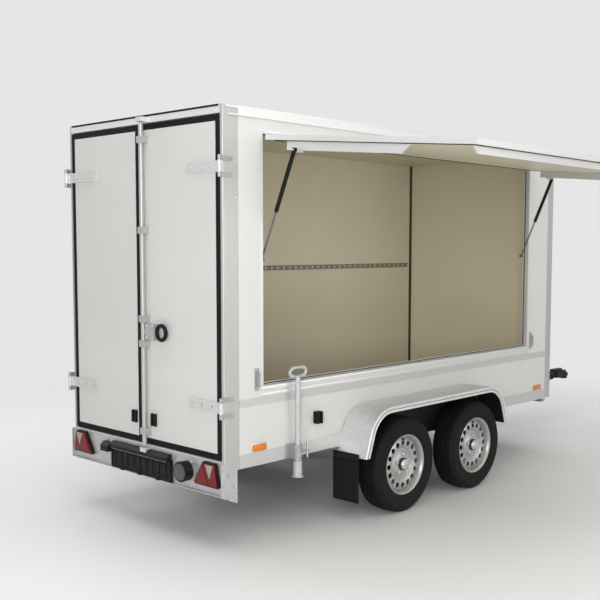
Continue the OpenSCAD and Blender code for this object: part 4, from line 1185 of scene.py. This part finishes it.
def make_edge_strips():
    rain = bmesh.new()
    for sign in SIDES:
        y = sign * (side + RAIN_OUT)
        z = roof_rail_low.z + RAIN_OUT
        add_tube(rain, ((rear + RAIN_END, y, z), (front - RAIN_END, y, z)), RAIN_WIDE, 10)
        near, far = sorted((y, y - sign * CAP_DEEP))
        add_block(rain, (rear + CAP_END, near, roof_top - 0.012),
                  (front - CAP_END, far, roof_top - 0.002), 0.003)
    make_piece("rain_rails", rain, RAIL_ALLOY, "trailer")
    seal = bmesh.new()
    ends = [(rear + 0.001, sign * (side - 0.03), roof_top - 0.004) for sign in SIDES]
    add_tube(seal, ends, ROOF_SEAL, 10)
    make_piece("roof_edge_seal", seal, SOFT_RUBBER, "trailer", 60.0)


make_edge_strips()

# %% [markdown]
# ## Serving hatch
# Under the opening lies a stepped sill of two bright bands, and a soft seal runs around the stop that the
# flap shuts against.

# %% Hatch sill and seal
hatch_low, hatch_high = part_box("hatch_frame")
JAMB, STOP = 0.024, 0.012
SILL_BANDS, SILL_END, SILL_OUT = ((0.004, 0.020), (0.034, 0.054)), 0.002, 0.006
HATCH_SEAL_IN, HATCH_SEAL = 0.0292, 0.0028
HATCH_SILL = ground + 0.824
HATCH_HEAD = flap_joint["pos_m"][2]


def make_hatch_trim():
    sill = bmesh.new()
    for low, high in SILL_BANDS:
        add_block(sill, (hatch_low.x + SILL_END, -side - SILL_OUT, hatch_low.z + low),
                  (hatch_high.x - SILL_END, -side + 0.002, hatch_low.z + high), 0.003)
    make_piece("hatch_sill_bands", sill, RAIL_ALLOY, "trailer")
    seal = bmesh.new()
    near, far = hatch_low.x + JAMB + STOP / 2, hatch_high.x - JAMB - STOP / 2
    low, high = HATCH_SILL + STOP / 2, HATCH_HEAD - STOP / 2
    y = -side + HATCH_SEAL_IN
    add_tube(seal, loop_along(y, near, far, low, high, 0.01), HATCH_SEAL, 8, True)
    make_piece("hatch_seal", seal, SOFT_RUBBER, "trailer", 60.0)


make_hatch_trim()

# %% [markdown]
# ## Flap edge
# The flap's pieces are drawn as if it were shut, where its edges are straight along the axes, and then
# turned open about the hinge. A dark seal line runs around the inner edge and screws hold the edge profile.

# %% Flap edge
hinge_place = Vector(flap_joint["pos_m"])
FLAP_OPEN = Matrix.Translation(hinge_place) @ FLAP_TURN @ Matrix.Translation(-hinge_place)
FLAP_EDGE, FLAP_GAP, FLAP_THICK, FLAP_SEAL = 0.030, 0.006, 0.026, 0.0035


def make_flap_edge():
    near, far = hatch_low.x + JAMB + FLAP_GAP, hatch_high.x - JAMB - FLAP_GAP
    low, high = HATCH_SILL + FLAP_GAP, HATCH_HEAD - FLAP_GAP
    inner = -side + FLAP_THICK
    seal = bmesh.new()
    inset = FLAP_EDGE
    loop = loop_along(inner, near + inset, far - inset, low + inset, high - inset, 0.012)
    add_tube(seal, [FLAP_OPEN @ point for point in loop], FLAP_SEAL, 8, True)
    make_piece("flap_edge_seal", seal, SOFT_RUBBER, "flap", 60.0)
    screws = bmesh.new()
    for x in spaced(near + 0.10, far - 0.10, 11):
        for z in (low + 0.015, high - 0.015):
            add_rivet(screws, FLAP_OPEN @ Vector((x, inner, z)), flap_down, RIVET)
            add_rivet(screws, FLAP_OPEN @ Vector((x, -side, z)), -flap_down, RIVET)
    make_piece("flap_rivets", screws, BRIGHT_STEEL, "flap", 50.0)


make_flap_edge()

# %% [markdown]
# ## Rear doors
# A hollow rubber profile seals each door, so two soft ridges run around it. The strap hinges are bolted
# through the door, and the lock bar ends in a black moulded grip.

# %% Door seals
DOOR_SEAL, RIDGE_IN, RIDGE_WIDE = 0.032, 0.006, 0.003


def make_door_seal(name):
    low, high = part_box(name + "_seal")
    bm = bmesh.new()
    x = low.x + 0.0012
    for inset in (RIDGE_IN, DOOR_SEAL - RIDGE_IN):
        ridge = loop_across(x, low.y + inset, high.y - inset, low.z + inset, high.z - inset, 0.008)
        add_tube(bm, ridge, RIDGE_WIDE, 8, True)
    make_piece(name + "_seal_ridges", bm, SOFT_RUBBER, name, 60.0)


for door_name in ("left_door", "right_door"):
    make_door_seal(door_name)

# %% Strap bolts and lock grip
HINGE_HEIGHTS = (0.740, 1.930)
STRAP_FACE, STRAP_BOLT = 0.012, 0.0075
LOOP_RADIUS, LOOP_HEIGHT, LOOP_BACK, LOOP_ACROSS = 0.038, 1.086, 0.024, 0.046
GRIP_WIDE = 0.0105


def make_strap_bolts(name, sign):
    bm = bmesh.new()
    for height in HINGE_HEIGHTS:
        for inset in (0.075, 0.155, 0.235):
            place = (rear - STRAP_FACE, sign * (side - inset), ground + height)
            add_bolt(bm, place, REARWARD, STRAP_BOLT)
    make_piece(name + "_strap_bolts", bm, BRIGHT_STEEL, name)


def make_lock_grip():
    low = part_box("lock_bar")[0]
    centre = Vector((rear - LOOP_BACK, low.y + LOOP_ACROSS, ground + LOOP_HEIGHT))
    bm = bmesh.new()
    loop = [centre + Vector((0.0, math.cos(a), math.sin(a))) * LOOP_RADIUS for a in around(40)]
    add_tube(bm, loop, GRIP_WIDE, 14, True)
    make_piece("lock_grip", bm, BLACK_MOULDING, "right_door", 60.0)
    screws = bmesh.new()
    for y in (0.044, 0.096):
        for z in (-0.030, 0.030):
            place = (rear - LOOP_BACK - 0.012, centre.y + 0.158 - y, centre.z + z)
            add_rivet(screws, place, REARWARD, 0.005)
    make_piece("lock_screws", screws, BRIGHT_STEEL, "right_door", 50.0)


make_strap_bolts("left_door", 1.0)
make_strap_bolts("right_door", -1.0)
make_lock_grip()

# %% [markdown]
# ## Door catches
# Two black moulded jaws sit low on each door and snap over the catch on the side wall when the door is
# swung open. They are rounded caps over the plain jaws of the solids.

# %% Door catches
CATCH_HALF, CATCH_WIDE, CATCH_OUT = 0.013, 0.012, 0.016
CATCH_SKIN = 0.0012
hold_low, hold_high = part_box("hold_backs")


def make_door_catches(name, place):
    bm = bmesh.new()
    for step in (-1.0, 1.0):
        middle = place + step * CATCH_HALF
        reach = CATCH_WIDE / 2 + CATCH_SKIN
        add_block(bm, (rear - CATCH_OUT - CATCH_SKIN, middle - reach, hold_low.z - CATCH_SKIN),
                  (rear - 0.0002, middle + reach, hold_high.z + CATCH_SKIN), 0.003)
    make_piece(name + "_catches", bm, BLACK_MOULDING, name)


make_door_catches("left_door", 0.062)
make_door_catches("right_door", -0.112)

# %% [markdown]
# ## Tail lamps
# Each lamp is a black housing with a red lens. A three-cornered reflector points up in it, as trailers
# carry, and a clear field lies beside the reflector. Flat plates with their own finishes show this well at
# this size.

# %% Tail lamps
lamp_low, lamp_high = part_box("tail_lamps")
LAMP_WIDE, LAMP_IN_CUT, LAMP_OUT_CUT = 0.196, 0.064, 0.022
LENS_THICK, FIELD_THICK, REFLECTOR_THICK = 0.006, 0.002, 0.003


def lamp_point(sign, across, up, x):
    return Vector((x, sign * (lamp_high.y - LAMP_WIDE + across), lamp_low.z + up))


def make_tail_lamps():
    tall = lamp_high.z - lamp_low.z
    face = lamp_low.x
    red, clear, reflector = bmesh.new(), bmesh.new(), bmesh.new()
    lens = ((0.010, 0.008), (0.184, 0.008), (0.186, 0.014), (LAMP_WIDE - LAMP_OUT_CUT - 0.008, tall - 0.008),
            (LAMP_IN_CUT + 0.010, tall - 0.008))
    field = ((0.098, tall - 0.011), (0.158, tall - 0.011), (0.131, 0.044))
    triangle = ((0.024, 0.014), (0.118, 0.014), (0.0755, tall - 0.016))
    layers = ((red, lens, 0.0, LENS_THICK), (clear, field, LENS_THICK, FIELD_THICK),
              (reflector, triangle, LENS_THICK, REFLECTOR_THICK))
    for sign in SIDES:
        for bm, outline, start, thick in layers:
            points = [lamp_point(sign, across, up, face - start) for across, up in outline]
            add_plate(bm, points, (-thick, 0.0, 0.0))
    make_piece("lamp_lenses", red, RED_LENS, "trailer")
    make_piece("lamp_clear_fields", clear, FIELD_LENS, "trailer")
    make_piece("lamp_reflectors", reflector, RED_LENS, "trailer")


make_tail_lamps()

# %% [markdown]
# ## Number plate holder and small lamps
# The holder is a black moulding with a raised rim, ribs and clips; it carries no plate. A lamp bar above it
# and a small hooded lamp beside it light it, and a round lamp with a smoked lens sits at its right.

# %% Plate holder
plate_low, plate_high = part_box("plate_holder")
PLATE_RIM = 0.006


def make_plate_holder():
    bm = bmesh.new()
    x = plate_low.x
    near, far = plate_low.y + PLATE_RIM, plate_high.y - PLATE_RIM
    rim = loop_across(x, near, far, plate_low.z + PLATE_RIM, plate_high.z - PLATE_RIM, 0.012)
    add_tube(bm, rim, PLATE_RIM, 8, True)
    wide = plate_high.y - plate_low.y
    for y in spaced(plate_low.y + 0.04, plate_high.y - 0.04, 9):
        add_block(bm, (x - 0.004, y - 0.004, plate_low.z + 0.016),
                  (x + 0.002, y + 0.004, plate_high.z - 0.016), 0.0015)
    for z in (plate_low.z + 0.030, plate_high.z - 0.030):
        add_block(bm, (x - 0.0035, plate_low.y + 0.016, z - 0.003),
                  (x + 0.002, plate_high.y - 0.016, z + 0.003), 0.0012)
    for share in (0.2, 0.5, 0.8):
        y = plate_low.y + wide * share
        add_block(bm, (x - 0.010, y - 0.016, plate_low.z - 0.003),
                  (x + 0.004, y + 0.016, plate_low.z + 0.010), 0.003)
    make_piece("plate_holder_relief", bm, BLACK_MOULDING, "trailer")


HOOD_OUTLINE = ((0.0, -0.034), (0.0, 0.018), (-0.022, 0.018), (-0.042, -0.002), (-0.042, -0.034))
BAR_OUTLINE = ((0.0, -0.006), (0.0, 0.030), (-0.018, 0.030), (-0.036, 0.012), (-0.036, -0.006))


def make_plate_lamps():
    hood, lens = bmesh.new(), bmesh.new()
    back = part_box("tail_lamps")[1].x
    for outline, near, far in ((HOOD_OUTLINE, plate_high.y + 0.004, plate_high.y + 0.076),
                               (BAR_OUTLINE, plate_low.y + 0.010, plate_high.y - 0.010)):
        base = Vector((back, near, plate_high.z))
        add_plate(hood, [base + Vector((x, 0.0, z)) for x, z in outline], (0.0, far - near, 0.0))
        low = min(z for x, z in outline) - 0.003
        add_block(lens, base + Vector((-0.032, 0.012, low)),
                  base + Vector((-0.022, far - near - 0.012, low + 0.004)), 0.001)
    make_piece("plate_lamp_hoods", hood, BLACK_MOULDING, "trailer")
    make_piece("plate_lamp_lenses", lens, CLEAR_LENS, "trailer")


make_plate_holder()
make_plate_lamps()

# %% Round rear lamp
fog_low, fog_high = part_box("fog_lamp")


def make_round_lamp():
    centre = Vector((fog_low.x, (fog_low.y + fog_high.y) / 2, (fog_low.z + fog_high.z) / 2))
    radius = (fog_high.z - fog_low.z) / 2
    ring, lens = bmesh.new(), bmesh.new()
    collar = ((radius - 0.004, -0.012), (radius + 0.002, -0.010), (radius + 0.002, -0.002),
              (radius - 0.006, 0.001), (radius - 0.009, -0.001))
    add_turned(ring, collar, centre, REARWARD, 48)
    make_piece("round_lamp_ring", ring, BLACK_MOULDING, "trailer")
    ridges = [0.0006 + 0.0012 * (step % 2) + 0.0008 * step for step in range(6)]
    profile = [(radius - 0.008 - 0.007 * step, ridge) for step, ridge in enumerate(ridges)]
    add_turned(lens, profile + [(0.0, 0.005)], centre, REARWARD, 48)
    make_piece("round_lamp_lens", lens, SMOKED_LENS, "trailer", 20.0)


make_round_lamp()

# %% [markdown]
# ## Light board bolts
# The board's end plates are bolted to the chassis, and the board itself to its ledge.

# %% Light board bolts
END_PLATE_BOLTS = ((0.030, 0.275), (0.030, 0.395), (0.066, 0.335))
BOARD_BOLTS, BOARD_BOLT_HEIGHT = (-0.42, 0.42, 0.30), 0.430
BOARD_SHEET, BOARD_BOLT = 0.004, 0.007


def make_board_bolts():
    bm = bmesh.new()
    for sign in SIDES:
        for along, height in END_PLATE_BOLTS:
            place = (rear + along, sign * (side + BOARD_SHEET), ground + height)
            add_bolt(bm, place, (0.0, sign, 0.0), BOARD_BOLT)
    for y in BOARD_BOLTS:
        add_bolt(bm, (rear - BOARD_SHEET, y, ground + BOARD_BOLT_HEIGHT), REARWARD, BOARD_BOLT)
    make_piece("board_bolts", bm, BRIGHT_STEEL, "trailer")


make_board_bolts()

# %% [markdown]
# ## Side markers and front lamps
# A marker is a small orange lens with rounded edges on a pale base. The lens stands for the plain solid, so
# it takes that solid's box. The front lamps get a turned lens.

# %% Side markers
marker_low, marker_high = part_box("side_markers")
MARKER_LONG, MARKER_EDGE = 0.096, 0.004


def make_side_markers():
    lens, base = bmesh.new(), bmesh.new()
    tall = marker_high.z - marker_low.z
    for sign in SIDES:
        for x in (marker_low.x, marker_high.x - MARKER_LONG):
            near, far = sorted((sign * side, sign * marker_high.y))
            add_block(lens, (x + MARKER_EDGE, near, marker_low.z + MARKER_EDGE),
                      (x + MARKER_LONG - MARKER_EDGE, far, marker_high.z - MARKER_EDGE), 0.005)
            for share in (0.3, 0.5, 0.7):
                z = marker_low.z + tall * share
                edge = sign * (marker_high.y - 0.0005)
                add_tube(lens, ((x + 0.010, edge, z), (x + MARKER_LONG - 0.010, edge, z)), 0.0016, 6)
            flat, proud = sorted((sign * side, sign * (side + 0.006)))
            add_block(base, (x - 0.002, flat, marker_low.z - 0.002),
                      (x + MARKER_LONG + 0.002, proud, marker_high.z + 0.002), 0.002)
    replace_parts(make_piece("marker_lenses", lens, ORANGE_LENS, "trailer"), "side_markers")
    make_piece("marker_bases", base, RAIL_ALLOY, "trailer")


make_side_markers()

# %% Front lamps
front_low, front_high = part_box("front_lamps")


def make_front_lamps():
    bm = bmesh.new()
    radius = (front_high.z - front_low.z) / 2
    middle_z = (front_high.z + front_low.z) / 2
    profile = ((radius + 0.002, -0.014), (radius + 0.002, -0.002), (radius - 0.004, 0.003),
               (radius * 0.5, 0.006), (0.0, 0.007))
    for sign in SIDES:
        place = (front_high.x, sign * (front_high.y - radius), middle_z)
        add_turned(bm, profile, place, (1.0, 0.0, 0.0), 36)
    make_piece("front_lamp_lenses", bm, CLEAR_LENS, "trailer")


make_front_lamps()

# %% [markdown]
# ## Hands and grips
# Each prop stand has a bent wire handle on top, and a tee screw clamps it. The handbrake and the crank of
# the jockey wheel have ribbed black grips, which are turned around their own axes.

# %% Prop stand handles
HANDLE_HALF, HANDLE_RISE, HANDLE_SINK, HANDLE_WIRE = 0.060, 0.025, 0.006, 0.0087


def make_stand_handle(hand):
    low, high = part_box(hand + "_stand")
    centre = Vector(((low.x + high.x) / 2, (low.y + high.y) / 2, high.z - HANDLE_RISE - HANDLE_SINK))
    loop = [centre + Vector((HANDLE_HALF * math.cos(a), 0.0, HANDLE_RISE * math.sin(a))) for a in around(40)]
    bm = bmesh.new()
    add_tube(bm, loop, HANDLE_WIRE, 14, True)
    make_piece(hand + "_stand_handle", bm, BOARD_ZINC, "stand_" + hand, 60.0)


for stand_hand in ("right", "left"):
    make_stand_handle(stand_hand)

# %% Stand clamp tees
clamp_low, clamp_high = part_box("stand_clamps")
TEE_HALF = Vector((0.0, 0.0, 0.040))
TEE_WIDE = 0.006


def make_clamp_tees():
    bm = bmesh.new()
    for sign in SIDES:
        stand_low, stand_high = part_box("right_stand" if sign < 0 else "left_stand")
        y = (stand_low.y + stand_high.y) / 2
        z = (clamp_low.z + clamp_high.z) / 2
        tip = Vector((clamp_high.x - TEE_WIDE, y, z))
        add_tube(bm, (tip - TEE_HALF, tip, tip + TEE_HALF), TEE_WIDE, 12)
    make_piece("clamp_tees", bm, BRIGHT_STEEL, "trailer", 60.0)


make_clamp_tees()

# %% Jockey crank grip
post_box_low, post_box_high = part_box("jockey_post")
RIB_PITCH, RIB_RISE = 0.006, 0.0014
KNOB_IN, KNOB_DOWN = 0.012, 0.086
CRANK_GRIP = {"radius": 0.0125, "long": 0.090}


def add_grip(bm, start, along, radius, long):
    steps = round(long / RIB_PITCH) - 1
    ribs = [(radius + RIB_RISE * (step % 2), RIB_PITCH * step) for step in range(steps)]
    add_turned(bm, [(0.0, 0.0)] + ribs + [(radius * 0.7, long - 0.002), (0.0, long)], start, along, 24)


def make_crank_grip():
    bm = bmesh.new()
    middle_y = (post_box_low.y + post_box_high.y) / 2
    knob = Vector((post_box_high.x - KNOB_IN, middle_y, post_box_high.z - KNOB_DOWN))
    add_grip(bm, knob, (0.0, 0.0, 1.0), **CRANK_GRIP)
    make_piece("crank_grip", bm, BLACK_MOULDING, "jockey_mast", 20.0)


make_crank_grip()

# %% Handbrake grip
LEVER_LEAN, LEVER_LONG = math.radians(18.0), 0.300
LEVER_GRIP = {"radius": 0.0175, "long": 0.121}
lever_low, lever_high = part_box("handbrake_lever")


def make_handbrake_grip():
    pivot = Vector((lever_high.x - 0.050, lever_low.y + 0.019, lever_low.z + 0.021))
    along = Vector((-math.sin(LEVER_LEAN), 0.0, math.cos(LEVER_LEAN)))
    bm = bmesh.new()
    add_grip(bm, pivot + along * LEVER_LONG, along, **LEVER_GRIP)
    make_piece("handbrake_grip", bm, BLACK_MOULDING, "trailer", 20.0)


make_handbrake_grip()

# %% [markdown]
# ## Brake rods
# Thin rods run from the overrun device to the two axles. They are hardly seen from the side, but a braked
# chassis without them looks unfinished from below.

# %% Brake rods
frame_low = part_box("chassis_frame")[0]
axle_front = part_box("axles")[1].x - 0.030
ROD_APART, ROD_BELOW, ROD_WIDE, ROD_GATHER = 0.05, 0.022, 0.005, 0.4
axle_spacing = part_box("rim_right_front")[0].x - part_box("rim_right_rear")[0].x


def make_brake_rods():
    bm = bmesh.new()
    z = frame_low.z - ROD_BELOW
    for y in (-ROD_APART, ROD_APART):
        route = ((axle_front - axle_spacing, y, z), (front - 0.2, y, z), (front + 0.96, y * ROD_GATHER, z),
                 (front + 1.00, y * ROD_GATHER, z + 0.024))
        add_tube(bm, route, ROD_WIDE, 8)
    make_piece("brake_rods", bm, BRIGHT_STEEL, "trailer", 60.0)


make_brake_rods()
